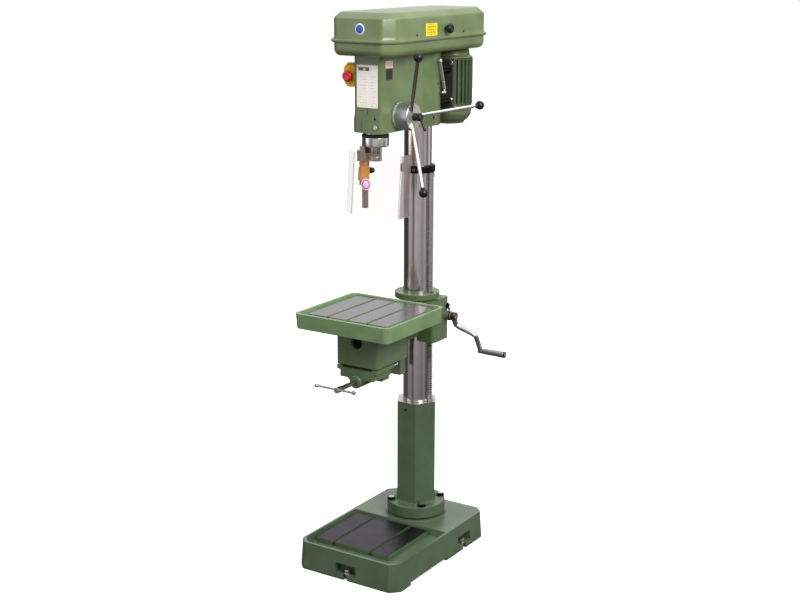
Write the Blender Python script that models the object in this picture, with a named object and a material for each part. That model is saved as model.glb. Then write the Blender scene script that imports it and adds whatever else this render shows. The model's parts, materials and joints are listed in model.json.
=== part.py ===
"""Floor-standing pillar drill press, modelled as separate sub-parts.

Units are metres, +Z up. The origin is on the floor, on the column's axis. The machine's front is
towards -Y, and the feed handles and the table crank are on the operator's right, at +X.
"""

import math

import bmesh
import bpy
from mathutils import Vector

# ---------------------------------------------------------------- driving dimensions
GAP = 0.0003  # between pieces that touch

COLUMN_R = 0.046
COLUMN_WALL = 0.008
COLUMN_BOTTOM = 0.1003
COLUMN_TOP = 1.630
BORE_R = COLUMN_R + GAP

BASE_HALF_W = 0.199
BASE_FRONT = -0.433
BASE_REAR = 0.147
BASE_H = 0.094
BASE_TAPER = 0.006
BASE_CHAMFER = 0.029
BOSS_H = 0.006
TRAY_FLOOR = 0.072
STRIP_TOP = 0.088
TRAY_INSET = 0.014
TRAY_CHAMFER = 0.026
TRAY_REAR = -0.105
POCKET_HALF_W = 0.040
POCKET_DEPTH = 0.028
SHELF_H = 0.020
POCKET_TOP = 0.054

FLANGE_R = 0.100
FLANGE_TOP = 0.145
PEDESTAL_R = 0.0736
PEDESTAL_TOP = 0.506
PEDESTAL_BOLT_PITCH_R = 0.087

RACK_TIP_X = 0.061
RACK_ROOT_X = 0.0565
RACK_HALF_W = 0.007
RACK_TOP = 1.2894
RACK_PITCH = 0.00785
COLLAR_R = 0.058
COLLAR_TOP = 1.313

SPINDLE_Y = -0.250
HEAD_FRONT = -0.295
HEAD_HALF_W = 0.052
HEAD_BOTTOM = 1.445
HEAD_TOP = 1.683
SLEEVE_R = 0.072
QUILL_R = 0.036
QUILL_BOTTOM = 1.4015
QUILL_TOP = 1.640
SPINDLE_R = 0.020
NOSE_BOTTOM = 1.355
SPLINE_R = 0.013

FEED_Y = -0.195
FEED_Z = 1.494
PINION_R = 0.0186
DRUM_R = 0.043
DRUM_FACE = 0.107
HANDLE_START_X = 0.094
HANDLE_TILT = math.radians(25.2)
HANDLE_PHASE = math.radians(124.9)
HANDLE_LENGTH = 0.263
HANDLE_R = 0.0055
BALL_R = 0.0145

MOTOR_Y = 0.197
MOTOR_R = 0.077
MOTOR_BOTTOM = 1.494
MOTOR_TOP = 1.648
SHAFT_R = 0.009
PLATE_Y = 0.100
LEVER_Z = 1.653

COVER_HALF_W = 0.116
COVER_FRONT = -0.348
COVER_REAR = 0.264
COVER_CHAMFER_X = 0.0304
COVER_CHAMFER_Y = 0.0435
COVER_BOTTOM = HEAD_TOP + GAP
COVER_SPLIT = 1.7275
LID_WALL_TOP = 1.797
LID_TOP = 1.8145
LID_BEVEL = 0.022
SHEET = 0.003

BELT_STEP = 1
STEP_HEIGHT = 0.022
PULLEY_BOTTOM = 1.698
SPINDLE_STEPS = (0.058, 0.050, 0.042, 0.034)
MOTOR_STEPS = (0.030, 0.038, 0.046, 0.054)
GROOVE_DEPTH = 0.009

TABLE_HALF_W = 0.180
TABLE_FRONT = -0.453
TABLE_REAR = -0.117
TABLE_BOTTOM = 0.8306
TABLE_TOP = 0.8798
TABLE_SURFACE = 0.8755
TABLE_FLOOR = 0.866
TABLE_RIM = 0.010
TABLE_SLOT_PITCH = 0.0745
TABLE_SLOT_MIDDLE = 0.002
SLOT_W = 0.010

ARM_HALF_W = 0.077
ARM_FRONT = -0.360
ARM_REAR = -0.170
ARM_BOTTOM = 0.710
BRACKET_BOTTOM = 0.728
BRACKET_RING_R = 0.075
BRACKET_TOP = 0.886
WHEEL_X = 0.071
WHEEL_Z = 0.8355
WHEEL_R = 0.0155
WORM_Y = 0.020
WORM_Z = 0.810
WORM_R = 0.0095
CRANK_HUB_X = 0.119
CRANK_ANGLE = math.radians(30)
CRANK_RADIUS = 0.147
CRANK_OFFSET = 0.066
GRIP_LENGTH = 0.090

LOCK_Z = 0.660
LOCK_R = 0.008
TOMMY_Y = -0.463
TOMMY_R = 0.0035

SWITCH_LEFT = -0.1025
SWITCH_RIGHT = -0.0523
SWITCH_FRONT = -0.261
SWITCH_BOTTOM = 1.582
SWITCH_TOP = 1.652
STOP_X = -0.082
STOP_Z = 1.616
START_Z = 1.628

ROD_X = -0.036
ROD_Y = -0.255
ROD_HALF = 0.0075
ROD_BOTTOM = 1.203
BRACKET_Z = 1.3525
BLOCK_LEFT = -0.055
BLOCK_RIGHT = -0.0255
BLOCK_FRONT = -0.269
BLOCK_REAR = -0.242
BLOCK_BOTTOM = 1.276
BLOCK_TOP = 1.351
SHIELD_Y = -0.2875
SHIELD_BOTTOM = 1.189
SHIELD_TOP = 1.383
SHIELD_SLOPE = 0.095  # how far it leans forwards, per metre down
SHIELD_T = 0.002

ROUND = 32  # segments of a large turned piece
SMALL = 16  # segments of a small one
ALONG_X = (0, math.pi / 2, 0)  # turns a piece made along Z so that it points along +X
ALONG_FRONT = (math.pi / 2, 0, 0)  # the same, along -Y
ALONG_REAR = (-math.pi / 2, 0, 0)  # the same, along +Y


# ---------------------------------------------------------------- materials
def material(name, colour, roughness, metallic=0.0, alpha=1.0):
    made = bpy.data.materials.new(name)
    made.use_nodes = True
    shader = made.node_tree.nodes["Principled BSDF"]
    shader.inputs["Base Color"].default_value = (*colour, 1.0)
    shader.inputs["Roughness"].default_value = roughness
    shader.inputs["Metallic"].default_value = metallic
    shader.inputs["Alpha"].default_value = alpha
    made.diffuse_color = (*colour, alpha)
    return made


def clear_scene():
    for old in list(bpy.data.objects):
        bpy.data.objects.remove(old, do_unlink=True)


clear_scene()
GREEN = material("green_paint", (0.10, 0.20, 0.09), 0.45)
MACHINED = material("machined_iron", (0.42, 0.41, 0.43), 0.35, 1.0)
STEEL = material("polished_steel", (0.62, 0.60, 0.60), 0.2, 1.0)
CHROME = material("chrome", (0.8, 0.8, 0.8), 0.08, 1.0)
BLACK = material("black_plastic", (0.02, 0.02, 0.02), 0.35)
BLACK_STEEL = material("black_steel", (0.03, 0.03, 0.03), 0.4, 0.6)
YELLOW = material("yellow_plastic", (0.75, 0.50, 0.02), 0.4)
RED = material("red_plastic", (0.60, 0.01, 0.02), 0.35)
START_GREEN = material("start_green", (0.02, 0.35, 0.06), 0.35)
ORANGE = material("orange_plastic", (0.80, 0.28, 0.04), 0.45)
WHITE = material("white_label", (0.8, 0.8, 0.78), 0.5)
CLEAR = material("clear_sheet", (0.9, 0.9, 0.88), 0.1, 0.0, 0.3)
RUBBER = material("belt_rubber", (0.02, 0.02, 0.02), 0.7)
BRACKET_GREY = material("cast_aluminium", (0.35, 0.33, 0.33), 0.5, 0.8)


# ---------------------------------------------------------------- modelling helpers
def finish_mesh(name, bm, smooth_angle=math.radians(35)):
    """Turns a bmesh into a mesh whose faces point outwards."""
    bmesh.ops.remove_doubles(bm, verts=bm.verts, dist=1e-6)
    bmesh.ops.recalc_face_normals(bm, faces=bm.faces)
    mesh = bpy.data.meshes.new(name)
    bm.to_mesh(mesh)
    bm.free()
    mesh.shade_smooth()
    mesh.set_sharp_from_angle(angle=smooth_angle)
    return mesh


def place(name, mesh, finish, at=(0, 0, 0), turn=(0, 0, 0), parent=None):
    """One named sub-part, at a place given in world coordinates."""
    piece = bpy.data.objects.new(name, mesh)
    bpy.context.scene.collection.objects.link(piece)
    piece.parent = parent
    piece.location = Vector(at) - (parent.location if parent else Vector())
    piece.rotation_euler = turn
    if finish:
        mesh.materials.append(finish)
    return piece


def joint_empty(name, at):
    """Marks a joint's place. What moves with the joint is parented to it."""
    empty = bpy.data.objects.new(name, None)
    empty.empty_display_size = 0.03
    empty.location = at
    bpy.context.scene.collection.objects.link(empty)
    return empty


def turned(name, profile, steps=ROUND):
    """A solid of revolution about Z from (radius, height) points in order."""
    bm = bmesh.new()
    verts = [bm.verts.new((radius, 0, height)) for radius, height in profile]
    on_axis = profile[0][0] == 0 and profile[-1][0] == 0
    pairs = zip(verts, verts[1:] + ([] if on_axis else verts[:1]))
    edges = [bm.edges.new(pair) for pair in pairs]
    bmesh.ops.spin(
        bm,
        geom=verts + edges,
        cent=(0, 0, 0),
        axis=(0, 0, 1),
        angle=2 * math.pi,
        steps=steps,
        use_merge=True,
    )
    return finish_mesh(name, bm)


def ring(name, inner, outer, low, high, steps=ROUND):
    return turned(name, [(inner, low), (outer, low), (outer, high), (inner, high)], steps)


def rod(name, radius, low, high, steps=SMALL):
    return turned(name, [(0, low), (radius, low), (radius, high), (0, high)], steps)


def add_box(bm, low, high):
    corners = [
        bm.verts.new((x, y, z)) for z in (low[2], high[2]) for y in (low[1], high[1])
        for x in (low[0], high[0])
    ]
    for face in ((0, 2, 3, 1), (4, 5, 7, 6), (0, 1, 5, 4), (1, 3, 7, 5), (3, 2, 6, 7), (2, 0, 4, 6)):
        bm.faces.new([corners[index] for index in face])


def boxes(name, *spans):
    """A mesh of one or more boxes, each given by its lowest and highest corners."""
    bm = bmesh.new()
    for low, high in spans:
        add_box(bm, low, high)
    return finish_mesh(name, bm)


def loft(name, sections):
    """A closed solid through sections that all have the same number of points."""
    bm = bmesh.new()
    rows = [[bm.verts.new(point) for point in section] for section in sections]
    for lower, upper in zip(rows, rows[1:]):
        for index in range(len(lower)):
            after = (index + 1) % len(lower)
            bm.faces.new((lower[index], lower[after], upper[after], upper[index]))
    bm.faces.new(reversed(rows[0]))
    bm.faces.new(rows[-1])
    return finish_mesh(name, bm)


def at_height(outline, height):
    return [(x, y, height) for x, y in outline]


def prism(name, outline, low, high):
    return loft(name, [at_height(outline, low), at_height(outline, high)])


def swept_y(name, outline, front, rear):
    """A prism along Y of an outline in X and Z."""
    return loft(name, [[(x, y, z) for x, z in outline] for y in (front, rear)])


def tube_along(name, points, radius, steps=10):
    """A round bar through the points, each section square to its stretch."""
    sections = []
    side = Vector((0.31, 0.29, 0.9)).normalized()
    for index, point in enumerate(points):
        before = points[max(index - 1, 0)]
        after = points[min(index + 1, len(points) - 1)]
        ahead = (Vector(after) - Vector(before)).normalized()
        side = (side - ahead * side.dot(ahead)).normalized()
        across = ahead.cross(side)
        angles = [2 * math.pi * step / steps for step in range(steps)]
        sections.append([
            Vector(point) + radius * (math.cos(a) * side + math.sin(a) * across) for a in angles
        ])
    return loft(name, sections)


def combine(target, mesh, operation, at=(0, 0, 0), turn=(0, 0, 0)):
    """Cuts a helper's shape from the target, or joins the shape to it."""
    helper = bpy.data.objects.new(f"{target.name}_{operation.lower()}", mesh)
    bpy.context.scene.collection.objects.link(helper)
    helper.hide_render = True
    helper.display_type = "WIRE"
    helper.location = at
    helper.rotation_euler = turn
    step = target.modifiers.new(operation.title(), "BOOLEAN")
    step.operation = operation
    step.solver = "EXACT"
    step.object = helper


def cut(target, mesh, at=(0, 0, 0), turn=(0, 0, 0)):
    combine(target, mesh, "DIFFERENCE", at, turn)


def join(target, mesh, at=(0, 0, 0), turn=(0, 0, 0)):
    combine(target, mesh, "UNION", at, turn)


def rounded_rectangle(left, right, front, rear, radius, steps=4):
    """Corner arcs of the given radius, counterclockwise from the front left."""
    outline = []
    corners = (
        (left + radius, front + radius, 180), (right - radius, front + radius, 270),
        (right - radius, rear - radius, 0), (left + radius, rear - radius, 90),
    )
    for x, y, start in corners:
        for step in range(steps + 1):
            angle = math.radians(start + 90 * step / steps)
            outline.append((x + radius * math.cos(angle), y + radius * math.sin(angle)))
    return outline


def chamfered_rectangle(half_width, front, rear, chamfer_x, chamfer_y, grow=0.0):
    """A rectangle with cut corners, moved outwards by grow along every side."""
    length = math.hypot(chamfer_x, chamfer_y)
    wide = half_width + grow
    low = front - grow
    high = rear + grow
    cut_x = chamfer_x + grow - grow * (length - chamfer_x) / chamfer_y
    cut_y = chamfer_y + grow - grow * (length - chamfer_y) / chamfer_x
    return [
        (-wide + cut_x, low), (wide - cut_x, low), (wide, low + cut_y), (wide, high - cut_y),
        (wide - cut_x, high), (-wide + cut_x, high), (-wide, high - cut_y), (-wide, low + cut_y),
    ]


def hexagon(radius, start_degrees=0.0):
    angles = [math.radians(start_degrees + 60 * corner) for corner in range(6)]
    return [(radius * math.cos(a), radius * math.sin(a)) for a in angles]


# ---------------------------------------------------------------- stand
def slotted_strips(edges, floor, top, front, rear, slot_w):
    """Outlines of machined strips between T-slots. Inner sides are undercut for the T."""
    undercut = 0.4 * slot_w
    depth = top - floor
    outlines = []
    for index in range(len(edges) - 1):
        left = edges[index] + (slot_w / 2 if index else 0)
        right = edges[index + 1] - (slot_w / 2 if index < len(edges) - 2 else 0)
        shape = [(left, floor - 0.002)]
        shape.append((right, floor - 0.002))
        if index < len(edges) - 2:
            shape += [(right, floor + 0.1 * depth), (right - undercut, floor + 0.1 * depth)]
            shape += [(right - undercut, floor + 0.5 * depth), (right, floor + 0.5 * depth)]
        shape += [(right, top), (left, top)]
        if index:
            shape += [(left, floor + 0.5 * depth), (left + undercut, floor + 0.5 * depth)]
            shape += [(left + undercut, floor + 0.1 * depth), (left, floor + 0.1 * depth)]
        outlines.append(swept_y("strip", shape, front, rear))
    return outlines


def base_outline(grow):
    return chamfered_rectangle(
        BASE_HALF_W, BASE_FRONT, BASE_REAR, BASE_CHAMFER, BASE_CHAMFER, grow
    )


def foot_pocket_cutter(side_at, outward):
    """A pocket in the base's side with a slotted shelf for a levelling screw."""
    x, y = side_at
    out_x, out_y = outward
    depth = POCKET_DEPTH
    if out_x:
        outer = x + out_x * 0.01
        inner = x - out_x * depth
        low_x, high_x = sorted((outer, inner))
        pocket = ((low_x, y - POCKET_HALF_W, SHELF_H), (high_x, y + POCKET_HALF_W, POCKET_TOP))
        slot = ((low_x, y - 0.009, -0.01), (high_x, y + 0.009, SHELF_H + 0.001))
    else:
        low_y, high_y = sorted((y + out_y * 0.01, y - out_y * depth))
        pocket = ((x - POCKET_HALF_W, low_y, SHELF_H), (x + POCKET_HALF_W, high_y, POCKET_TOP))
        slot = ((x - 0.009, low_y, -0.01), (x + 0.009, high_y, SHELF_H + 0.001))
    return pocket, slot


def make_base():
    body = place(
        "base_casting",
        loft("base", [at_height(base_outline(0), 0), at_height(base_outline(-BASE_TAPER), BASE_H)]),
        GREEN,
    )
    join(body, rod("boss", FLANGE_R + 0.004, BASE_H - 0.01, BASE_H + BOSS_H, ROUND))
    half_w = BASE_HALF_W - TRAY_INSET
    front = BASE_FRONT + TRAY_INSET
    tray = [
        (-half_w + TRAY_CHAMFER, front), (half_w - TRAY_CHAMFER, front), (half_w, front + TRAY_CHAMFER),
        (half_w, TRAY_REAR), (-half_w, TRAY_REAR), (-half_w, front + TRAY_CHAMFER),
    ]
    cut(body, prism("tray", tray, TRAY_FLOOR, BASE_H + 0.02))
    strips = slotted_strips(
        (-0.165, -0.094, 0.0515, 0.120), TRAY_FLOOR, STRIP_TOP, -0.362, TRAY_REAR - 0.010, 0.0105
    )
    for strip in strips:
        join(body, strip)
    cavities = [((-0.150, -0.390, -0.01), (-0.006, -0.115, 0.056)),
                ((0.006, -0.390, -0.01), (0.150, -0.115, 0.056))]
    for low_x, high_x in ((-0.158, -0.010), (0.010, 0.158)):
        for low_y, high_y in ((-0.103, -0.012), (0.012, 0.130)):
            cavities.append(((low_x, low_y, -0.01), (high_x, high_y, 0.080)))
    cut(body, boxes("cavities", *cavities))
    for side_at, outward in (((0, BASE_FRONT), (0, -1)), ((-BASE_HALF_W, 0), (-1, 0)),
                             ((BASE_HALF_W, 0), (1, 0))):
        pocket, slot = foot_pocket_cutter(side_at, outward)
        cut(body, boxes("pocket", pocket))
        cut(body, boxes("slot", slot))
    arches = [((side * BASE_HALF_W - 0.060, -0.345, -0.01), (side * BASE_HALF_W + 0.060, -0.120, 0.011))
              for side in (-1, 1)]
    cut(body, boxes("arches", *arches))


def levelling_screw(name, x, y):
    """Hexagon-head screw that stands on the floor and holds the slotted shelf."""
    piece = place(name, rod(name, 0.006, GAP, 0.032, 12), MACHINED, (x, y, 0))
    join(piece, prism("head", hexagon(0.0105), SHELF_H + 0.0025, 0.031), (x, y, 0))
    join(piece, rod("washer", 0.0125, SHELF_H + GAP, SHELF_H + 0.003), (x, y, 0))


def make_pedestal():
    edge = 0.006
    flange = [
        (0, BASE_H + BOSS_H + GAP), (FLANGE_R - 0.008, BASE_H + BOSS_H + GAP),
        (FLANGE_R, BASE_H + BOSS_H + 0.010), (FLANGE_R, FLANGE_TOP - edge),
        (FLANGE_R - edge, FLANGE_TOP), (0, FLANGE_TOP),
    ]
    body = place("pedestal", turned("pedestal", flange), GREEN)
    tube = prism("hexagon_tube", hexagon(PEDESTAL_R), FLANGE_TOP - 0.01, PEDESTAL_TOP)
    join(body, tube)
    cut(body, rod("pedestal_bore", BORE_R, 0.08, PEDESTAL_TOP + 0.02, ROUND))
    for number in range(4):
        angle = math.radians(45 + 90 * number)
        x = PEDESTAL_BOLT_PITCH_R * math.cos(angle)
        y = PEDESTAL_BOLT_PITCH_R * math.sin(angle)
        bolt = prism(f"bolt_{number}", hexagon(0.0135, 15), FLANGE_TOP + GAP, FLANGE_TOP + 0.008)
        place(f"pedestal_bolt_{number + 1}", bolt, BLACK_STEEL, (x, y, 0))


def make_column():
    place(
        "column_tube",
        ring("column", COLUMN_R - COLUMN_WALL, COLUMN_R, COLUMN_BOTTOM, COLUMN_TOP, 48),
        STEEL,
    )
    collar = ring("collar", BORE_R, COLLAR_R, RACK_TOP + GAP, COLLAR_TOP)
    place("rack_collar", collar, BLACK_STEEL)


def make_rack(parent):
    low = PEDESTAL_TOP + GAP
    plain_end = 0.008
    outline = [(BORE_R, low), (RACK_TIP_X, low)]
    teeth = int((RACK_TOP - low - 2 * plain_end) / RACK_PITCH)
    for tooth in range(teeth):
        base = low + plain_end + tooth * RACK_PITCH
        outline += [
            (RACK_TIP_X, base), (RACK_ROOT_X, base + 0.16 * RACK_PITCH),
            (RACK_ROOT_X, base + 0.52 * RACK_PITCH), (RACK_TIP_X, base + 0.68 * RACK_PITCH),
        ]
    outline += [(RACK_TIP_X, RACK_TOP), (BORE_R, RACK_TOP)]
    place("rack", swept_y("rack", outline, -RACK_HALF_W, RACK_HALF_W), STEEL, parent=parent)


# ---------------------------------------------------------------- head
def make_head():
    nose = prism(
        "head",
        rounded_rectangle(-HEAD_HALF_W, HEAD_HALF_W, HEAD_FRONT, -0.010, 0.010, 3),
        HEAD_BOTTOM,
        HEAD_TOP,
    )
    body = place("head_casting", nose, GREEN)
    join(body, rod("sleeve", SLEEVE_R, HEAD_BOTTOM, HEAD_TOP, 48))
    cut(body, rod("quill_bore", QUILL_R + GAP, 1.40, 1.72, ROUND), (0, SPINDLE_Y, 0))
    cut(body, rod("column_bore", BORE_R, 1.40, COLUMN_TOP + GAP, ROUND))
    pocket = ((-0.040, -0.158, HEAD_BOTTOM + 0.015), (0.040, -0.062, HEAD_TOP + 0.02))
    cut(body, boxes("pocket", pocket))
    bore = rod("pinion_bore", PINION_R + GAP, -0.032, 0.08, ROUND)
    cut(body, bore, (0, FEED_Y, FEED_Z), ALONG_X)
    lever_bore = rod("lever_bore", 0.0063, 0.050, 0.10)
    cut(body, lever_bore, (0, 0, LEVER_Z), ALONG_X)
    for x, z in slide_rod_places():
        cut(body, rod("slide_bore", 0.0073, 0.012, 0.09), (x, 0, z), ALONG_REAR)
    label = boxes("nameplate", ((-0.0385, HEAD_FRONT - 0.0013, 1.524), (0.0385, HEAD_FRONT - GAP, 1.655)))
    place("nameplate", label, WHITE)


def slide_rod_places():
    return [(side * 0.058, height) for side in (-1, 1) for height in (1.515, 1.615)]


def make_quill(quill_group):
    at = (0, SPINDLE_Y, 0)
    quill = ring("quill", SPINDLE_R + GAP, QUILL_R, QUILL_BOTTOM, QUILL_TOP)
    place("quill", quill, STEEL, at, parent=quill_group)
    collar_profile = [
        (QUILL_R + GAP, QUILL_BOTTOM - 0.0005), (0.040, QUILL_BOTTOM - 0.0005), (0.043, 1.404),
        (0.043, 1.431), (QUILL_R + GAP, 1.431),
    ]
    place("quill_collar", turned("quill_collar", collar_profile), CHROME, at, parent=quill_group)
    buffer_profile = [
        (QUILL_R + GAP, 1.4313), (0.043, 1.4313), (0.043, 1.436), (0.040, 1.441),
        (QUILL_R + GAP, 1.441),
    ]
    place("quill_buffer", turned("quill_buffer", buffer_profile), RUBBER, at, parent=quill_group)
    spindle_profile = [
        (0, 1.430), (0.0098, 1.430), (0.0120, NOSE_BOTTOM), (SPINDLE_R - 0.0015, NOSE_BOTTOM),
        (SPINDLE_R, NOSE_BOTTOM + 0.0015), (SPINDLE_R, QUILL_TOP - 0.002), (SPLINE_R, QUILL_TOP),
        (SPLINE_R, 1.788), (0, 1.788),
    ]
    spindle = place("spindle", turned("spindle", spindle_profile), STEEL, at, parent=quill_group)
    drift_slot = boxes("drift_slot", ((-0.003, -0.03, 1.410), (0.003, 0.03, 1.436)))
    cut(spindle, drift_slot, at)


def make_feed(feed_group):
    at = (0, FEED_Y, FEED_Z)
    shaft = turned("feed_shaft", [
        (0, -0.031), (PINION_R, -0.031), (PINION_R, HEAD_HALF_W), (0.015, HEAD_HALF_W),
        (0.015, 0.102), (0, 0.102),
    ])
    place("feed_shaft", shaft, STEEL, at, ALONG_X, feed_group)
    dial = ring("feed_dial", 0.0153, DRUM_R, HEAD_HALF_W + GAP, 0.0603)
    place("feed_dial", dial, WHITE, at, ALONG_X, feed_group)
    hub = place("feed_hub", turned("feed_hub", [
        (0.0153, 0.0606), (DRUM_R, 0.0606), (DRUM_R, DRUM_FACE - 0.001), (DRUM_R - 0.001, DRUM_FACE),
        (0, DRUM_FACE), (0, 0.1023), (0.0153, 0.1023),
    ]), MACHINED, at, ALONG_X, feed_group)
    for number in range(3):
        angle = HANDLE_PHASE - number * 2 * math.pi / 3
        ahead = Vector((
            math.sin(HANDLE_TILT),
            math.cos(HANDLE_TILT) * math.cos(angle),
            math.cos(HANDLE_TILT) * math.sin(angle),
        ))
        turn = ahead.to_track_quat("Z", "Y").to_euler()
        start = (HANDLE_START_X, FEED_Y, FEED_Z)
        cut(hub, rod("socket", HANDLE_R + GAP, 0.0228, 0.06), start, turn)
        handle = rod("feed_handle", HANDLE_R, 0.0232, HANDLE_LENGTH - 0.003)
        place(f"feed_handle_{number + 1}", handle, CHROME, start, turn, feed_group)
        ball = ball_mesh(HANDLE_LENGTH)
        place(f"handle_ball_{number + 1}", ball, BLACK, start, turn, feed_group)
    cap = rod("hub_lock_lever", 0.0125, DRUM_FACE + GAP, 0.134)
    lever = place("hub_lock_lever", cap, BLACK, at, ALONG_X, feed_group)
    start = Vector((0.130, FEED_Y, FEED_Z))
    arm = tube_along("lock_arm", [start, start + Vector((0.014, 0.004, -0.038))], 0.003, 8)
    join(lever, arm)


def ball_mesh(distance):
    """A ball with a blind hole on its inner side, centred at a distance along Z."""
    profile = []
    hole = HANDLE_R + GAP
    first = math.asin(hole / BALL_R)
    for step in range(9):
        angle = first + (math.pi - first) * step / 8
        profile.append((BALL_R * math.sin(angle), distance - BALL_R * math.cos(angle)))
    profile[-1] = (0, distance + BALL_R)
    floor = distance - 0.003 + GAP
    return turned("handle_ball", [(0, floor), (hole, floor)] + profile, SMALL)


# ---------------------------------------------------------------- drive
def groove_profile(steps, bore, low):
    """Profile of a step pulley with one V groove on each step."""
    profile = [(bore, low)]
    for index, radius in enumerate(steps):
        start = low + index * STEP_HEIGHT
        profile += [
            (radius, start), (radius, start + 0.005), (radius - GROOVE_DEPTH, start + 0.009),
            (radius - GROOVE_DEPTH, start + 0.013), (radius, start + 0.017),
            (radius, start + STEP_HEIGHT),
        ]
    profile.append((bore, low + len(steps) * STEP_HEIGHT))
    return profile


def make_drive(motor_group):
    at = (0, SPINDLE_Y, 0)
    sleeve_bottom = 1.645
    bore = SPLINE_R + GAP
    grooved = groove_profile(SPINDLE_STEPS, bore, PULLEY_BOTTOM)
    profile = [(bore, sleeve_bottom), (0.022, sleeve_bottom), (0.022, PULLEY_BOTTOM)] + grooved[1:]
    place("spindle_pulley", turned("spindle_pulley", profile, 24), MACHINED, at)
    motor_at = (0, MOTOR_Y, 0)
    pulley = turned("motor_pulley", groove_profile(MOTOR_STEPS, SHAFT_R + GAP, PULLEY_BOTTOM), 24)
    place("motor_pulley", pulley, MACHINED, motor_at, parent=motor_group)
    shaft = turned("motor_shaft", [
        (0, 1.450), (SHAFT_R, 1.450), (SHAFT_R, 1.510), (0.050, 1.510), (0.050, 1.630),
        (SHAFT_R, 1.630), (SHAFT_R, 1.788), (0, 1.788),
    ], 24)
    place("motor_shaft", shaft, STEEL, motor_at, parent=motor_group)
    make_belt()


def make_belt():
    """An open belt round both pulleys, with a trapezoid section."""
    spindle_r = SPINDLE_STEPS[BELT_STEP]
    motor_r = MOTOR_STEPS[BELT_STEP]
    middle = PULLEY_BOTTOM + (BELT_STEP + 0.5) * STEP_HEIGHT
    lean = math.asin((spindle_r - motor_r) / (MOTOR_Y - SPINDLE_Y))
    arc_steps = 12
    path = []
    for step in range(arc_steps + 1):
        angle = math.pi - lean + (math.pi + 2 * lean) * step / arc_steps
        path.append(((0, SPINDLE_Y), spindle_r, angle))
    for step in range(arc_steps + 1):
        angle = lean + (math.pi - 2 * lean) * step / arc_steps
        path.append(((0, MOTOR_Y), motor_r, angle))
    section = ((-0.008, -0.0020), (-0.001, -0.0051), (-0.001, 0.0051), (-0.008, 0.0020))
    bm = bmesh.new()
    rows = []
    for (x, y), radius, angle in path:
        rows.append([
            bm.verts.new((
                x + (radius + inset) * math.cos(angle), y + (radius + inset) * math.sin(angle),
                middle + height,
            )) for inset, height in section
        ])
    for row, after in zip(rows, rows[1:] + rows[:1]):
        for index in range(4):
            other = (index + 1) % 4
            bm.faces.new((row[index], row[other], after[other], after[index]))
    place("v_belt", finish_mesh("v_belt", bm), RUBBER)


def fin_outline(outer, inner, count):
    outline = []
    for fin in range(count):
        for share, radius in ((0.0, outer), (0.42, outer), (0.5, inner), (0.92, inner)):
            angle = 2 * math.pi * (fin + share) / count
            outline.append((radius * math.cos(angle), radius * math.sin(angle)))
    return outline


def make_motor(motor_group):
    at = (0, MOTOR_Y, 0)
    fins = prism("fins", fin_outline(MOTOR_R, MOTOR_R - 0.009, 28), MOTOR_BOTTOM, MOTOR_TOP)
    housing = place("motor_housing", fins, GREEN, at, parent=motor_group)
    pad = boxes("pad", ((-0.040, PLATE_Y + 0.0103 - MOTOR_Y, 1.500), (0.040, -0.060, 1.640)))
    join(housing, pad, at)
    cut(housing, rod("stator_bore", 0.054, MOTOR_BOTTOM - 0.01, MOTOR_TOP + 0.01, ROUND), at)
    bell = turned("motor_end_bell", [
        (0.0, 1.4305), (0.050, 1.4305), (0.050, 1.445), (0.057, 1.450), (0.070, 1.462),
        (0.075, 1.475), (0.075, MOTOR_BOTTOM - GAP), (0.070, MOTOR_BOTTOM - GAP), (0.070, 1.476),
        (0.054, 1.455), (0.045, 1.447), (0.045, 1.4355), (0.0, 1.4355),
    ])
    place("motor_end_bell", bell, GREEN, at, parent=motor_group)
    shield = turned("motor_top_shield", [
        (SHAFT_R + GAP, MOTOR_TOP + GAP), (0.071, MOTOR_TOP + GAP), (0.064, 1.655),
        (0.062, COVER_BOTTOM - 0.001), (SHAFT_R + GAP, COVER_BOTTOM - 0.001),
    ])
    place("motor_top_shield", shield, GREEN, at, parent=motor_group)
    plate = place(
        "motor_plate",
        boxes("motor_plate", ((-0.070, PLATE_Y, 1.482), (0.070, PLATE_Y + 0.010, 1.647))),
        BLACK_STEEL,
        parent=motor_group,
    )
    for x, z in slide_rod_places():
        join(plate, rod("slide_rod", 0.007, 0.028, PLATE_Y + 0.002), (x, 0, z), ALONG_REAR)


def make_belt_lever(group):
    at = Vector((0, 0, LEVER_Z))
    lever = place("belt_lever", rod("belt_lever", 0.006, 0.0545, 0.086), CHROME, at, ALONG_X, group)
    top = Vector((0.0815, -0.001, LEVER_Z + 0.002))
    foot = Vector((0.0815, 0.031, LEVER_Z - 0.100))
    arm = tube_along("lever_arm", [top, top.lerp(foot, 0.5), foot], 0.0048, 10)
    join(lever, arm)
    bend = [foot + Vector((0, 0.003, 0)), foot + Vector((0, -0.016, 0.002))]
    bent_end = tube_along("lever_end", bend, 0.004, 10)
    join(lever, bent_end)


# ---------------------------------------------------------------- belt cover
def cover_outline(grow):
    return chamfered_rectangle(
        COVER_HALF_W, COVER_FRONT, COVER_REAR, COVER_CHAMFER_X, COVER_CHAMFER_Y, grow
    )


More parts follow.
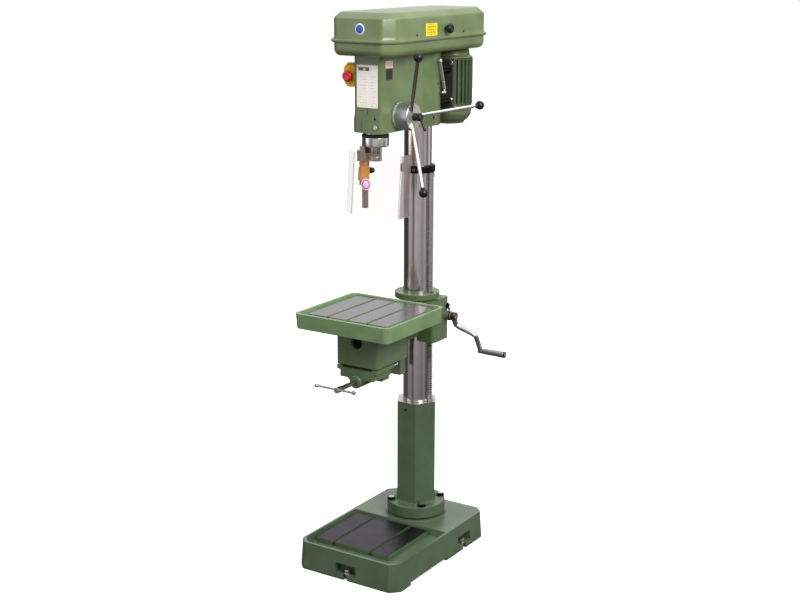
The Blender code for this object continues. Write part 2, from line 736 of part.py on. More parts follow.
def make_cover(lid_group):
    lip = 0.009
    lip_h = 0.008
    split = COVER_SPLIT
    tray = place("cover_tray", loft("cover_tray", [
        at_height(cover_outline(-0.012), COVER_BOTTOM), at_height(cover_outline(0), 1.698),
        at_height(cover_outline(0), split - lip_h), at_height(cover_outline(lip), split - lip_h),
        at_height(cover_outline(lip), split - GAP),
    ]), GREEN)
    inside = loft("tray_inside", [
        at_height(cover_outline(-0.014), COVER_BOTTOM + SHEET),
        at_height(cover_outline(-SHEET), 1.6985), at_height(cover_outline(-SHEET), split + 0.01),
    ])
    cut(tray, inside)
    cut(tray, rod("spindle_hole", 0.030, 1.67, 1.70, ROUND), (0, SPINDLE_Y, 0))
    shaft_slot = rounded_rectangle(-0.014, 0.014, MOTOR_Y - 0.030, MOTOR_Y + 0.016, 0.0138)
    cut(tray, prism("shaft_slot", shaft_slot, 1.67, 1.70))
    lid_shell = loft("cover_lid", [
        at_height(cover_outline(lip), split), at_height(cover_outline(lip), split + lip_h),
        at_height(cover_outline(0), split + lip_h), at_height(cover_outline(0), LID_WALL_TOP),
        at_height(cover_outline(-LID_BEVEL), LID_TOP),
    ])
    lid = place("cover_lid", lid_shell, GREEN)
    hollow = loft("lid_inside", [
        at_height(cover_outline(-SHEET), split - 0.01),
        at_height(cover_outline(-SHEET), LID_WALL_TOP - 0.001),
        at_height(cover_outline(-LID_BEVEL - 0.001), LID_TOP - SHEET),
    ])
    cut(lid, hollow)
    keep_place(lid, lid_group)
    hinge_x = lid_group.location.x
    for name, y in (("lid_hinge_front", -0.215), ("lid_hinge_rear", 0.115)):
        barrel = place(name, rod(name, 0.0038, y, y + 0.050, 12), CHROME, (hinge_x, 0, split), ALONG_REAR)
        leaf = boxes("leaf", (
            (hinge_x + 0.0015, y, split - 0.020), (hinge_x + 0.0032, y + 0.050, split - 0.001)))
        join(barrel, leaf)
    knob = turned("lid_knob", [
        (0, 0.1163), (0.0055, 0.1163), (0.0055, 0.126), (0.013, 0.126), (0.0155, 0.130),
        (0.0155, 0.137), (0.012, 0.142), (0, 0.142),
    ], SMALL)
    place("lid_knob", knob, BLACK, (0, -0.026, 1.757), ALONG_X, lid_group)


def keep_place(piece, parent):
    """Parents a piece that was made in world coordinates."""
    piece.parent = parent
    piece.location = -parent.location


# ---------------------------------------------------------------- table
def make_table(group):
    radius = 0.022
    lower = rounded_rectangle(
        -TABLE_HALF_W + 0.004, TABLE_HALF_W - 0.004, TABLE_FRONT + 0.004, TABLE_REAR - 0.004, radius - 0.003
    )
    upper = rounded_rectangle(-TABLE_HALF_W, TABLE_HALF_W, TABLE_FRONT, TABLE_REAR, radius)
    table = place("table_top", loft("table_top", [
        at_height(lower, TABLE_BOTTOM), at_height(upper, TABLE_TOP),
    ]), GREEN)
    rim = TABLE_RIM
    inside = rounded_rectangle(
        -TABLE_HALF_W + rim, TABLE_HALF_W - rim, TABLE_FRONT + rim, TABLE_REAR - rim, radius - rim
    )
    cut(table, prism("table_tray", inside, TABLE_FLOOR, TABLE_TOP + 0.01))
    edges = [TABLE_SLOT_MIDDLE + TABLE_SLOT_PITCH * number for number in range(-2, 3)]
    for strip in slotted_strips(
        edges, TABLE_FLOOR, TABLE_SURFACE, TABLE_FRONT + 0.038, TABLE_REAR - 0.014, SLOT_W
    ):
        join(table, strip)
    cells = []
    for low_x, high_x in ((-0.165, -0.085), (0.085, 0.165)):
        for low_y, high_y in ((-0.440, -0.290), (-0.280, -0.130)):
            cells.append(((low_x, low_y, 0.82), (high_x, high_y, 0.854)))
    cut(table, boxes("cells", *cells))
    keep_place(table, group)


def make_bracket(group):
    sleeve = turned("table_bracket", [
        (0, 0.742), (0.060, 0.742), (0.060, 0.862), (BRACKET_RING_R, 0.868),
        (BRACKET_RING_R, BRACKET_TOP), (0, BRACKET_TOP),
    ])
    body = place("table_bracket", sleeve, GREEN)
    arm_top = TABLE_BOTTOM - GAP
    join(body, boxes("arm", ((-ARM_HALF_W, ARM_FRONT, ARM_BOTTOM), (ARM_HALF_W, ARM_REAR, arm_top))))
    join(body, boxes("neck", ((-0.040, ARM_REAR - 0.01, 0.745), (0.040, -0.030, arm_top - 0.001))))
    housing = rounded_rectangle(0.030, 0.100, -0.055, 0.041, 0.012, 3)
    join(body, prism("gear_housing", housing, BRACKET_BOTTOM, 0.864))
    join(body, boxes("jaw", ((-0.034, -0.127, 0.623), (0.0145, -0.096, 0.750))))
    join(body, rod("worm_boss", 0.016, 0.09, 0.118, 20), (0, WORM_Y, WORM_Z), ALONG_X)
    cut(body, rod("column_bore", BORE_R, 0.55, 0.95, ROUND))
    cut(body, boxes("rack_slot", ((0.040, -0.0078, 0.70), (RACK_TIP_X + 0.0007, 0.0078, 0.90))))
    cut(body, boxes("pinion_room", (
        (0.060, -0.0085, WHEEL_Z - 0.0115), (0.0825, 0.0112, WHEEL_Z + 0.0115))))
    cut(body, boxes("wheel_room", (
        (WHEEL_X - 0.0170, 0.0109, WHEEL_Z - 0.0175), (WHEEL_X + 0.0170, 0.0305, WHEEL_Z + 0.0170))))
    cut(body, boxes("arm_hollow", ((-0.064, -0.346, 0.69), (0.064, -0.184, 0.815))))
    cut(body, rod("front_hole", 0.021, 0.33, 0.38, 24), (0, 0, 0.788), ALONG_FRONT)
    cut(body, rod("screw_bore", LOCK_R + GAP, 0.08, 0.15), (0, 0, LOCK_Z), ALONG_FRONT)
    cut(body, rod("worm_bore", 0.0100, 0.050, 0.13, 20), (0, WORM_Y, WORM_Z), ALONG_X)
    keep_place(body, group)


def make_table_lock(group):
    plate = boxes("lock_block", ((-0.064, ARM_FRONT, 0.668), (0.064, -0.259, 0.7060)))
    block = place("lock_block", plate, GREEN)
    join(block, boxes("ears", ((-0.0765, ARM_FRONT + 0.001, 0.692), (0.0765, -0.261, 0.7055))))
    join(block, boxes("pad", ((-0.072, -0.338, 0.700), (0.072, -0.264, ARM_BOTTOM - GAP))))
    join(block, boxes("lug", ((0.030, -0.300, 0.652), (0.057, -0.2585, 0.700))))
    web = [(-0.036, 0.669), (-0.020, 0.654), (0.020, 0.654), (0.036, 0.669)]
    join(block, swept_y("web", web, ARM_FRONT + 0.0005, -0.262))
    join(block, rod("screw_boss", 0.022, 0.256, 0.371, 20), (0, 0, LOCK_Z), ALONG_FRONT)
    cut(block, rod("screw_bore", LOCK_R + GAP, 0.24, 0.39), (0, 0, LOCK_Z), ALONG_FRONT)
    keep_place(block, group)
    screw = place(
        "lock_screw", turned("lock_screw", [
            (0, 0.0940), (LOCK_R, 0.0940), (LOCK_R, 0.450), (0.010, 0.453), (0.010, 0.474), (0, 0.474),
        ], 20), STEEL, (0, 0, LOCK_Z), ALONG_FRONT,
    )
    cross_hole = rod("cross_hole", TOMMY_R + GAP, -0.02, 0.02, 12)
    cut(screw, cross_hole, (0, TOMMY_Y, LOCK_Z), ALONG_X)
    keep_turned(screw, group)
    tommy = turned("tommy_bar", [
        (0, -0.089), (0.005, -0.089), (0.006, -0.087), (0.006, -0.078), (TOMMY_R, -0.077),
        (TOMMY_R, 0.053), (0.006, 0.054), (0.006, 0.063), (0.005, 0.065), (0, 0.065),
    ], 12)
    place("tommy_bar", tommy, CHROME, (0, TOMMY_Y, LOCK_Z), ALONG_X, group)


def keep_turned(piece, parent):
    piece.location = piece.location - parent.location
    piece.parent = parent


def make_crank(group):
    at = (0, WORM_Y, WORM_Z)
    worm = turned("worm_shaft", [
        (0, 0.052), (WORM_R - 0.002, 0.052), (WORM_R, 0.054), (WORM_R, 0.1185), (0.0075, 0.1185),
        (0.0075, 0.140), (0, 0.140),
    ], 20)
    place("worm_shaft", worm, STEEL, at, ALONG_X, group)
    wheel = turned("worm_wheel", [
        (0, -0.0078), (0.0094, -0.0078), (0.0094, 0.0100), (0.0110, 0.0112), (WHEEL_R, 0.0120),
        (WHEEL_R, 0.0295), (0, 0.0295),
    ], 20)
    place("worm_wheel", wheel, STEEL, (WHEEL_X, 0, WHEEL_Z), ALONG_REAR, group)
    hub_profile = [
        (0.0078, CRANK_HUB_X), (0.0135, CRANK_HUB_X), (0.0135, CRANK_HUB_X + 0.021),
        (0.0078, CRANK_HUB_X + 0.021),
    ]
    arm = place("crank_arm", turned("crank_arm", hub_profile, 20), CHROME, at, ALONG_X, group)
    middle = Vector((CRANK_HUB_X + 0.0105, WORM_Y, WORM_Z))
    points = [middle + crank_point(radius) for radius in crank_radii()]
    join(arm, tube_along("arm_bar", points, 0.0072, 10))
    grip_at = middle + crank_point(CRANK_RADIUS)
    pin = rod("grip_pin", 0.004, 0, GRIP_LENGTH + 0.006, 12)
    join(arm, pin, grip_at, ALONG_X)
    grip = turned("crank_grip", [
        (0.0043, 0.0082), (0.0092, 0.0082), (0.0099, 0.020), (0.0100, 0.034), (0.0110, 0.090),
        (0.0096, 0.0945), (0.0043, 0.0945),
    ], SMALL)
    place("crank_grip", grip, BRACKET_GREY, grip_at, ALONG_X, group)


def crank_radii():
    return [0.0105 + (CRANK_RADIUS - 0.0105) * step / 12 for step in range(13)]


def crank_point(radius):
    """A point of the S-shaped crank arm, from the hub's middle."""
    start = 0.028
    end = 0.092
    share = min(max((radius - start) / (end - start), 0), 1)
    out = CRANK_OFFSET * share * share * (3 - 2 * share)
    return Vector((out, radius * math.sin(CRANK_ANGLE), -radius * math.cos(CRANK_ANGLE)))


# ---------------------------------------------------------------- switch
def make_switch(flap_group):
    box = place("switch_box", boxes("switch_box", (
        (SWITCH_LEFT, SWITCH_FRONT, SWITCH_BOTTOM), (SWITCH_RIGHT, -0.222, SWITCH_TOP))), BLACK)
    start_x = SWITCH_RIGHT - 0.012
    cut(box, rod("start_bore", 0.0068, 0.2500, 0.27, 20), (start_x, 0, START_Z), ALONG_FRONT)
    place(
        "start_button", rod("start_button", 0.0065, 0.2533, 0.2650, SMALL), START_GREEN,
        (start_x, 0, START_Z), ALONG_FRONT,
    )
    flap = place("switch_flap", boxes("switch_flap", (
        (SWITCH_LEFT, -0.2735, SWITCH_BOTTOM), (SWITCH_RIGHT, SWITCH_FRONT - 0.0010, 1.6505))), YELLOW)
    room = boxes("flap_room", (
        (SWITCH_LEFT + 0.002, -0.2705, SWITCH_BOTTOM + 0.002),
        (SWITCH_RIGHT - 0.002, SWITCH_FRONT + 0.01, 1.6475)))
    cut(flap, room)
    barrel = rod("flap_barrel", 0.0034, -0.094, -0.061, 12)
    join(flap, barrel, (0, flap_group.location.y, flap_group.location.z), ALONG_X)
    hole = rod("stop_bore", 0.0063, 0.26, 0.28, 20)
    cut(flap, hole, (STOP_X, 0, STOP_Z), ALONG_FRONT)
    keep_place(flap, flap_group)
    stop_profile = [
        (0, 0.2718), (0.0060, 0.2718), (0.0060, 0.2790), (0.0150, 0.2790), (0.0175, 0.2830),
        (0.0165, 0.2885), (0.0110, 0.2925), (0, 0.2935),
    ]
    button = turned("stop_button", stop_profile, 24)
    place("stop_button", button, RED, (STOP_X, 0, STOP_Z), ALONG_FRONT, flap_group)


# ---------------------------------------------------------------- spindle guard
def shield_front(height):
    return SHIELD_Y - SHIELD_SLOPE * (SHIELD_TOP - height)


def shield_outline(height):
    """The folded sheet's section. The side folds keep their length all the way down."""
    front = shield_front(height)
    outer = [(-0.108, front + 0.046), (-0.0555, front), (0.1225, front), (0.126, front + 0.050)]
    inner = [
        (0.1240, front + 0.050), (0.1206, front + SHIELD_T), (-0.0548, front + SHIELD_T),
        (-0.1067, front + 0.0475),
    ]
    return at_height(outer + inner, height)


def make_guard(group):
    mount = boxes("guard_bracket", ((-0.0555, -0.275, BRACKET_Z), (-0.0235, -0.236, 1.4007)))
    bracket = place("guard_bracket", mount, BRACKET_GREY)
    cut(bracket, rod("guard_bore", 0.0063, BRACKET_Z - 0.01, 1.392), (ROD_X, ROD_Y, 0))
    keep_place(bracket, group)
    half = ROD_HALF
    bar = place("guard_rod", boxes("guard_rod", (
        (-half, -half, ROD_BOTTOM), (half, half, BRACKET_Z - GAP))), BRACKET_GREY, (ROD_X, ROD_Y, 0))
    join(bar, rod("guard_pivot", 0.006, BRACKET_Z - 0.003, 1.3915), (ROD_X, ROD_Y, 0))
    keep_turned(bar, group)
    block = place("guard_block", boxes("guard_block", (
        (BLOCK_LEFT, BLOCK_FRONT, BLOCK_BOTTOM), (BLOCK_RIGHT, BLOCK_REAR, BLOCK_TOP))), ORANGE)
    arm = []
    for height in (1.296, 1.336):
        front = shield_front(height) + SHIELD_T + 0.0005
        rear = BLOCK_FRONT + 0.002
        arm.append(at_height([(-0.046, front), (-0.029, front), (-0.029, rear), (-0.046, rear)], height))
    join(block, loft("shield_arm", arm))
    slide = half + GAP
    hollow = boxes("block_bore", (
        (ROD_X - slide, ROD_Y - slide, BLOCK_BOTTOM - 0.01),
        (ROD_X + slide, ROD_Y + slide, BLOCK_TOP + 0.01)))
    cut(block, hollow)
    keep_place(block, group)
    base = BLOCK_REAR - ROD_Y
    knob = turned("guard_knob", [
        (0, base + GAP), (0.0035, base + GAP), (0.0035, base + 0.010), (0.0080, base + 0.010),
        (0.0100, base + 0.013), (0.0100, base + 0.028), (0.0080, base + 0.031), (0, base + 0.031),
    ], SMALL)
    place("guard_knob", knob, BLACK, (ROD_X, ROD_Y, 1.318), ALONG_REAR, group)
    shield = loft("guard_shield", [shield_outline(SHIELD_BOTTOM), shield_outline(SHIELD_TOP)])
    keep_place(place("guard_shield", shield, CLEAR), group)


# ---------------------------------------------------------------- assembly
def build():
    rack_group = joint_empty("table_swing_axis", (0, 0, PEDESTAL_TOP))
    lift_group = joint_empty("table_lift_place", (0, 0, BRACKET_BOTTOM))
    quill_group = joint_empty("quill_axis", (0, SPINDLE_Y, QUILL_BOTTOM))
    feed_group = joint_empty("feed_axis", (HEAD_HALF_W, FEED_Y, FEED_Z))
    motor_group = joint_empty("motor_slide_place", (0, MOTOR_Y, MOTOR_BOTTOM))
    lever_group = joint_empty("belt_lever_axis", (0.08, 0, LEVER_Z))
    lid_group = joint_empty("lid_hinge_axis", (-0.1295, 0, COVER_SPLIT))
    flap_group = joint_empty("flap_axis", (STOP_X, -0.2665, 1.6535))
    guard_group = joint_empty("guard_axis", (ROD_X, ROD_Y, BRACKET_Z))
    make_base()
    levelling_screw("levelling_screw_front", 0, BASE_FRONT + 0.0135)
    levelling_screw("levelling_screw_left", -BASE_HALF_W + 0.0135, 0)
    levelling_screw("levelling_screw_right", BASE_HALF_W - 0.0135, 0)
    make_pedestal()
    make_column()
    make_rack(rack_group)
    make_head()
    make_quill(quill_group)
    make_feed(feed_group)
    make_drive(motor_group)
    make_motor(motor_group)
    make_belt_lever(lever_group)
    make_cover(lid_group)
    make_table(lift_group)
    make_bracket(lift_group)
    make_table_lock(lift_group)
    make_crank(lift_group)
    make_switch(flap_group)
    make_guard(guard_group)


build()
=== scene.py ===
"""The looks of the pillar drill press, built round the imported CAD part."""

import json
import math

import bmesh
import bpy
from mathutils import Matrix, Vector


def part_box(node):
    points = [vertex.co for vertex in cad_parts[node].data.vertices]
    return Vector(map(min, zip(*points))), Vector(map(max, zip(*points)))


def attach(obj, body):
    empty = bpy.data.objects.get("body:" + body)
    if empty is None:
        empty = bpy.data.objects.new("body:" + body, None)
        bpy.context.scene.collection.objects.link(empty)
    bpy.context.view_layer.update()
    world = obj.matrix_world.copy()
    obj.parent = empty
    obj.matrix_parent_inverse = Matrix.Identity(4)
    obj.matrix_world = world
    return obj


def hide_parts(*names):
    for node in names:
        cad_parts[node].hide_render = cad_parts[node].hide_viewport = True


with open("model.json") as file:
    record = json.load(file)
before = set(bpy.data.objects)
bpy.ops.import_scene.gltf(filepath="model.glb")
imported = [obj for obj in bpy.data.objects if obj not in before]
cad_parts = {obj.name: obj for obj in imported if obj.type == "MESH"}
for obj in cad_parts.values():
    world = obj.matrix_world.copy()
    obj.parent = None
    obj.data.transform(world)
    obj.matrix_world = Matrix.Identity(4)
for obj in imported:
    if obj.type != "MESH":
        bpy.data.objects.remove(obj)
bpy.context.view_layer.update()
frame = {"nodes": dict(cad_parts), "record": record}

NODE_BODY = {
    node: body for body, nodes in frame["record"]["behaviour"]["bodies"].items() for node in nodes
}
ALONG_X = (0, math.pi / 2, 0)
ALONG_FRONT = (math.pi / 2, 0, 0)
ALONG_REAR = (-math.pi / 2, 0, 0)
FINE = 96
MEDIUM = 48
SMALL = 28
GAP = 0.0003
TAU = 2 * math.pi


# ================================================================ node helpers
class Nodes:
    """A small wrapper that makes and links shader nodes."""

    def __init__(self, tree):
        self.tree = tree

    def add(self, kind, **settings):
        node = self.tree.nodes.new(kind)
        for name, value in settings.items():
            setattr(node, name, value)
        return node

    def link(self, source, target):
        self.tree.links.new(source, target)
        return target

    def value(self, node, name, value):
        socket = node.inputs[name]
        if isinstance(value, bpy.types.NodeSocket):
            self.link(value, socket)
        else:
            socket.default_value = value
        return socket

    def math(self, operation, first, second=None, clamp=False):
        node = self.add("ShaderNodeMath", operation=operation, use_clamp=clamp)
        self.value(node, 0, first)
        if second is not None:
            self.value(node, 1, second)
        return node.outputs[0]

    def mix(self, share, first, second, blend="MIX"):
        node = self.add("ShaderNodeMix", data_type="RGBA", blend_type=blend)
        self.value(node, 0, share)
        for index, colour in ((6, first), (7, second)):
            if isinstance(colour, bpy.types.NodeSocket):
                self.link(colour, node.inputs[index])
            else:
                node.inputs[index].default_value = (*colour[:3], 1)
        return node.outputs[2]

    def ramp(self, source, stops, mode="LINEAR"):
        node = self.add("ShaderNodeValToRGB")
        node.color_ramp.interpolation = mode
        elements = node.color_ramp.elements
        while len(elements) < len(stops):
            elements.new(0.5)
        for element, (place, colour) in zip(elements, stops):
            element.position = place
            if isinstance(colour, (int, float)):
                colour = (colour, colour, colour)
            element.color = (*colour, 1)
        self.link(source, node.inputs[0])
        return node.outputs[0]

    def coords(self, scale=(1, 1, 1), kind="Object"):
        source = self.add("ShaderNodeTexCoord").outputs[kind]
        mapping = self.add("ShaderNodeMapping")
        mapping.inputs["Scale"].default_value = scale
        self.link(source, mapping.inputs["Vector"])
        return mapping.outputs[0]

    def noise(self, coords, scale, detail=2.0, rough=0.5):
        node = self.add("ShaderNodeTexNoise")
        self.link(coords, node.inputs["Vector"])
        node.inputs["Scale"].default_value = scale
        node.inputs["Detail"].default_value = detail
        node.inputs["Roughness"].default_value = rough
        return node.outputs[0]

    def bump(self, height, strength, distance, normal=None):
        node = self.add("ShaderNodeBump")
        node.inputs["Strength"].default_value = strength
        node.inputs["Distance"].default_value = distance
        self.link(height, node.inputs["Height"])
        if normal is not None:
            self.link(normal, node.inputs["Normal"])
        return node.outputs[0]


def new_material(name):
    made = bpy.data.materials.new(name)
    made.use_nodes = True
    nodes = Nodes(made.node_tree)
    shader = made.node_tree.nodes["Principled BSDF"]
    return made, nodes, shader


# ================================================================ materials
def paint(name, colour, roughness=0.34, cast=0.25, corner_shade=0.35, grain=1.0):
    """Sprayed enamel over a casting or sheet: soft mottling, orange peel and painted shade in corners and
    creases.
    """
    made, n, shader = new_material(name)
    where = n.coords()
    broad = n.noise(where, 9.0, 3.0, 0.55)
    middle = n.noise(where, 55.0, 4.0, 0.6)
    peel = n.noise(where, 420.0 * grain, 2.0, 0.5)
    cast_skin = n.noise(where, 150.0, 3.0, 0.6)
    dark = tuple(c * 0.86 for c in colour)
    light = tuple(min(c * 1.13 + 0.004, 1) for c in colour)
    base = n.mix(n.ramp(broad, [(0.3, 0.0), (0.7, 1.0)]), dark, light)
    base = n.mix(
        n.math("MULTIPLY", n.ramp(middle, [(0.45, 0.0), (0.75, 1.0)]), 0.22), base,
        tuple(c * 1.28 for c in colour),
    )
    # Painted shade: an occlusion node darkens the enamel in corners, creases and between parts, and makes it
    # a little rougher there.
    hollow = n.add("ShaderNodeAmbientOcclusion", samples=6)
    hollow.inputs["Distance"].default_value = 0.022
    painted_shade = n.math("MULTIPLY", n.ramp(hollow.outputs["AO"], [(0.25, 1.0), (0.85, 0.0)]), corner_shade)
    base = n.mix(painted_shade, base, tuple(c * 0.25 for c in colour))
    n.link(base, shader.inputs["Base Color"])
    gloss = n.math("ADD", n.math("MULTIPLY", middle, 0.14), roughness - 0.07)
    n.link(n.math("ADD", gloss, n.math("MULTIPLY", painted_shade, 0.35)), shader.inputs["Roughness"])
    shader.inputs["Specular IOR Level"].default_value = 0.42
    shader.inputs["Coat Weight"].default_value = 0.22
    shader.inputs["Coat Roughness"].default_value = 0.24
    rough = n.bump(cast_skin, cast, 0.0006)
    n.link(n.bump(peel, 0.10, 0.0003, rough), shader.inputs["Normal"])
    return made


def metal(
    name, colour, roughness, stretch=(1, 1, 1), grain=600.0, marks=0.12, bump=0.06, spots=0.0, tint=None,
):
    """Bare metal with a fine directional grain, smudges and a few darker stains."""
    made, n, shader = new_material(name)
    shader.inputs["Metallic"].default_value = 1.0
    lines = n.noise(n.coords(stretch), grain, 3.0, 0.6)
    smudge = n.noise(n.coords(), 26.0, 4.0, 0.6)
    stain = n.noise(n.coords(), 75.0, 5.0, 0.7)
    dark = tuple(c * (1 - 2.2 * marks) for c in colour)
    light = tuple(min(c * (1 + 0.8 * marks), 1) for c in colour)
    base = n.mix(n.ramp(lines, [(0.3, 0.0), (0.7, 1.0)]), dark, light)
    base = n.mix(
        n.math("MULTIPLY", n.ramp(smudge, [(0.4, 0.0), (0.75, 1.0)]), 0.35), base,
        tuple(c * 0.8 for c in colour),
    )
    if spots:
        base = n.mix(
            n.math("MULTIPLY", n.ramp(stain, [(0.58, 0.0), (0.75, 1.0)]), spots), base,
            tint or tuple(c * 0.4 for c in colour),
        )
    n.link(base, shader.inputs["Base Color"])
    spread = n.math("MULTIPLY", lines, 0.12)
    n.link(
        n.math("ADD", n.math("ADD", spread, n.math("MULTIPLY", smudge, 0.16)), roughness - 0.14),
        shader.inputs["Roughness"],
    )
    n.link(n.bump(lines, bump, 0.0002), shader.inputs["Normal"])
    return made


def plastic(name, colour, roughness, pebble=0.15, scale=900.0, coat=0.0):
    """Moulded plastic with a slight pebble and uneven gloss."""
    made, n, shader = new_material(name)
    where = n.coords()
    fine = n.noise(where, scale, 2.0, 0.5)
    broad = n.noise(where, 40.0, 3.0, 0.6)
    base = n.mix(
        n.ramp(broad, [(0.3, 0.0), (0.75, 1.0)]), tuple(c * 0.88 for c in colour),
        tuple(min(c * 1.12 + 0.004, 1) for c in colour),
    )
    n.link(base, shader.inputs["Base Color"])
    n.link(n.math("ADD", n.math("MULTIPLY", broad, 0.16), roughness - 0.08), shader.inputs["Roughness"])
    n.link(n.bump(fine, pebble, 0.0002), shader.inputs["Normal"])
    shader.inputs["Coat Weight"].default_value = coat
    shader.inputs["Coat Roughness"].default_value = 0.1
    shader.inputs["Specular IOR Level"].default_value = 0.30
    return made


def clear_sheet(name, low_alpha, base, patch=False):
    """Clear sheet, hazed and scratched, denser where it is seen edge on. It may have one clean patch."""
    made, n, shader = new_material(name)
    haze = n.noise(n.coords(), 30.0, 4.0, 0.6)
    scratch = n.noise(n.coords((1, 1, 0.08)), 700.0, 2.0, 0.6)
    n.link(
        n.mix(haze, tuple(c * 0.9 for c in base), tuple(c * 1.1 for c in base)), shader.inputs["Base Color"],
    )
    n.link(n.math("ADD", n.math("MULTIPLY", scratch, 0.12), 0.24), shader.inputs["Roughness"])
    facing = n.add("ShaderNodeLayerWeight")
    facing.inputs["Blend"].default_value = 0.35
    edge_on = n.math("MULTIPLY", n.math("POWER", facing.outputs["Facing"], 4.0), 0.30)
    veil = n.math("ADD", n.math("MULTIPLY", haze, 0.06), low_alpha)
    density = n.math("ADD", veil, edge_on, clamp=True)
    if patch:
        split = n.add("ShaderNodeSeparateXYZ")
        n.link(n.add("ShaderNodeTexCoord").outputs["Object"], split.inputs[0])
        across = n.math(
            "GREATER_THAN", n.math("ABSOLUTE", n.math("SUBTRACT", split.outputs[0], 0.0165)), 0.0165,
        )
        along = n.math("GREATER_THAN", n.math("ABSOLUTE", n.math("SUBTRACT", split.outputs[2], 1.324)), 0.031)
        density = n.math("MULTIPLY", density, n.math("MAXIMUM", across, along))
    n.link(density, shader.inputs["Alpha"])
    shader.inputs["Specular IOR Level"].default_value = 0.25
    return made


def printed_plate(name):
    """A blank data plate: off-white with rows of faint grey rules and two plain blocks."""
    made, n, shader = new_material(name)
    split = n.add("ShaderNodeSeparateXYZ")
    n.link(n.add("ShaderNodeTexCoord").outputs["Object"], split.inputs[0])
    x = split.outputs[0]
    z = split.outputs[2]
    row = n.math("PINGPONG", z, 0.0045)
    rules = n.math("LESS_THAN", row, 0.0008)
    grain = n.noise(n.coords((1, 1, 1)), 160.0, 3.0, 0.6)
    broken = n.math("GREATER_THAN", grain, 0.47)
    left = n.math("LESS_THAN", n.math("ABSOLUTE", n.math("ADD", x, 0.016)), 0.015)
    right = n.math("LESS_THAN", n.math("ABSOLUTE", n.math("SUBTRACT", x, 0.022)), 0.009)
    columns = n.math("MAXIMUM", left, right)
    lower = n.math("LESS_THAN", z, 1.628)
    ink = n.math("MULTIPLY", n.math("MULTIPLY", rules, broken), n.math("MULTIPLY", columns, lower))
    white = n.mix(n.noise(n.coords(), 18.0, 3.0, 0.6), (0.86, 0.80, 0.72), (0.95, 0.90, 0.83))
    base = n.mix(n.math("MULTIPLY", ink, 0.55), white, (0.25, 0.25, 0.27))
    band = n.math("LESS_THAN", n.math("ABSOLUTE", n.math("SUBTRACT", z, 1.6425)), 0.0055)
    head = n.math("MULTIPLY", band, n.math("LESS_THAN", n.math("ABSOLUTE", n.math("ADD", x, 0.012)), 0.020))
    base = n.mix(n.math("MULTIPLY", head, 0.96), base, (0.03, 0.03, 0.03))
    wedge = n.math("LESS_THAN", n.math("ABSOLUTE", n.math("ADD", x, 0.010)), 0.006)
    slant = n.math("LESS_THAN", n.math("ABSOLUTE", n.math("SUBTRACT", z, 1.6415)), 0.0032)
    base = n.mix(n.math("MULTIPLY", wedge, slant), base, (0.72, 0.56, 0.06))
    n.link(base, shader.inputs["Base Color"])
    n.link(n.math("ADD", n.math("MULTIPLY", grain, 0.1), 0.28), shader.inputs["Roughness"])
    return made


def dial_marks(name, centre_y, centre_z):
    """White ring with black graduations round the feed axis."""
    made, n, shader = new_material(name)
    split = n.add("ShaderNodeSeparateXYZ")
    n.link(n.add("ShaderNodeTexCoord").outputs["Object"], split.inputs[0])
    y = n.math("SUBTRACT", split.outputs[1], centre_y)
    z = n.math("SUBTRACT", split.outputs[2], centre_z)
    angle = n.math("ARCTAN2", y, z)
    turn = n.math("MULTIPLY", angle, 60 / TAU)
    tick = n.math("LESS_THAN", n.math("PINGPONG", turn, 0.5), 0.09)
    long_turn = n.math("MULTIPLY", angle, 12 / TAU)
    long_tick = n.math("LESS_THAN", n.math("PINGPONG", long_turn, 0.5), 0.035)
    short = n.math("MULTIPLY", tick, n.math("LESS_THAN", split.outputs[0], 0.0566))
    marks = n.math("MAXIMUM", short, long_tick)
    wear = n.noise(n.coords(), 120.0, 3.0, 0.6)
    white = n.mix(wear, (0.34, 0.34, 0.34), (0.46, 0.46, 0.46))
    n.link(n.mix(n.math("MULTIPLY", marks, 0.92), white, (0.02, 0.02, 0.02)), shader.inputs["Base Color"])
    n.link(n.math("ADD", n.math("MULTIPLY", wear, 0.15), 0.25), shader.inputs["Roughness"])
    return made


def sticker(name, colour, frame_colour, size, centre, ring=None, rules=0.0):
    """A small generic label: a plain field with a border or ring, and if wanted broken rules."""
    made, n, shader = new_material(name)
    split = n.add("ShaderNodeSeparateXYZ")
    n.link(n.add("ShaderNodeTexCoord").outputs["Object"], split.inputs[0])
    axes = [n.math("SUBTRACT", split.outputs[axis], place) for axis, place in centre]
    if ring:
        square = [n.math("MULTIPLY", a, a) for a in axes]
        far = n.math("DIVIDE", n.math("SQRT", n.math("ADD", square[0], square[1])), size[0])
        border = n.math("MULTIPLY", n.math("GREATER_THAN", far, ring[0]), n.math("LESS_THAN", far, ring[1]))
    else:
        edges = [
            n.math("GREATER_THAN", n.math("ABSOLUTE", a), s / 2 - 0.0022) for a, s in zip(axes, size)
        ]
        border = n.math("MAXIMUM", edges[0], edges[1])
    tone = n.noise(n.coords(), 70.0, 3.0, 0.6)
    field = n.mix(tone, tuple(c * 0.9 for c in colour), tuple(min(c * 1.08, 1) for c in colour))
    if rules:
        row = n.math("LESS_THAN", n.math("PINGPONG", axes[1], rules), rules * 0.42)
        broken = n.math("GREATER_THAN", n.noise(n.coords((1, 1, 0.2)), 210.0, 2.0, 0.5), 0.44)
        inside = n.math("LESS_THAN", n.math("ABSOLUTE", axes[0]), size[0] * 0.36)
        ink = n.math("MULTIPLY", n.math("MULTIPLY", row, broken), inside)
        field = n.mix(n.math("MULTIPLY", ink, 0.75), field, (0.05, 0.045, 0.03))
    n.link(n.mix(border, field, frame_colour), shader.inputs["Base Color"])
    n.link(n.math("ADD", n.math("MULTIPLY", tone, 0.12), 0.42), shader.inputs["Roughness"])
    shader.inputs["Specular IOR Level"].default_value = 0.25
    return made


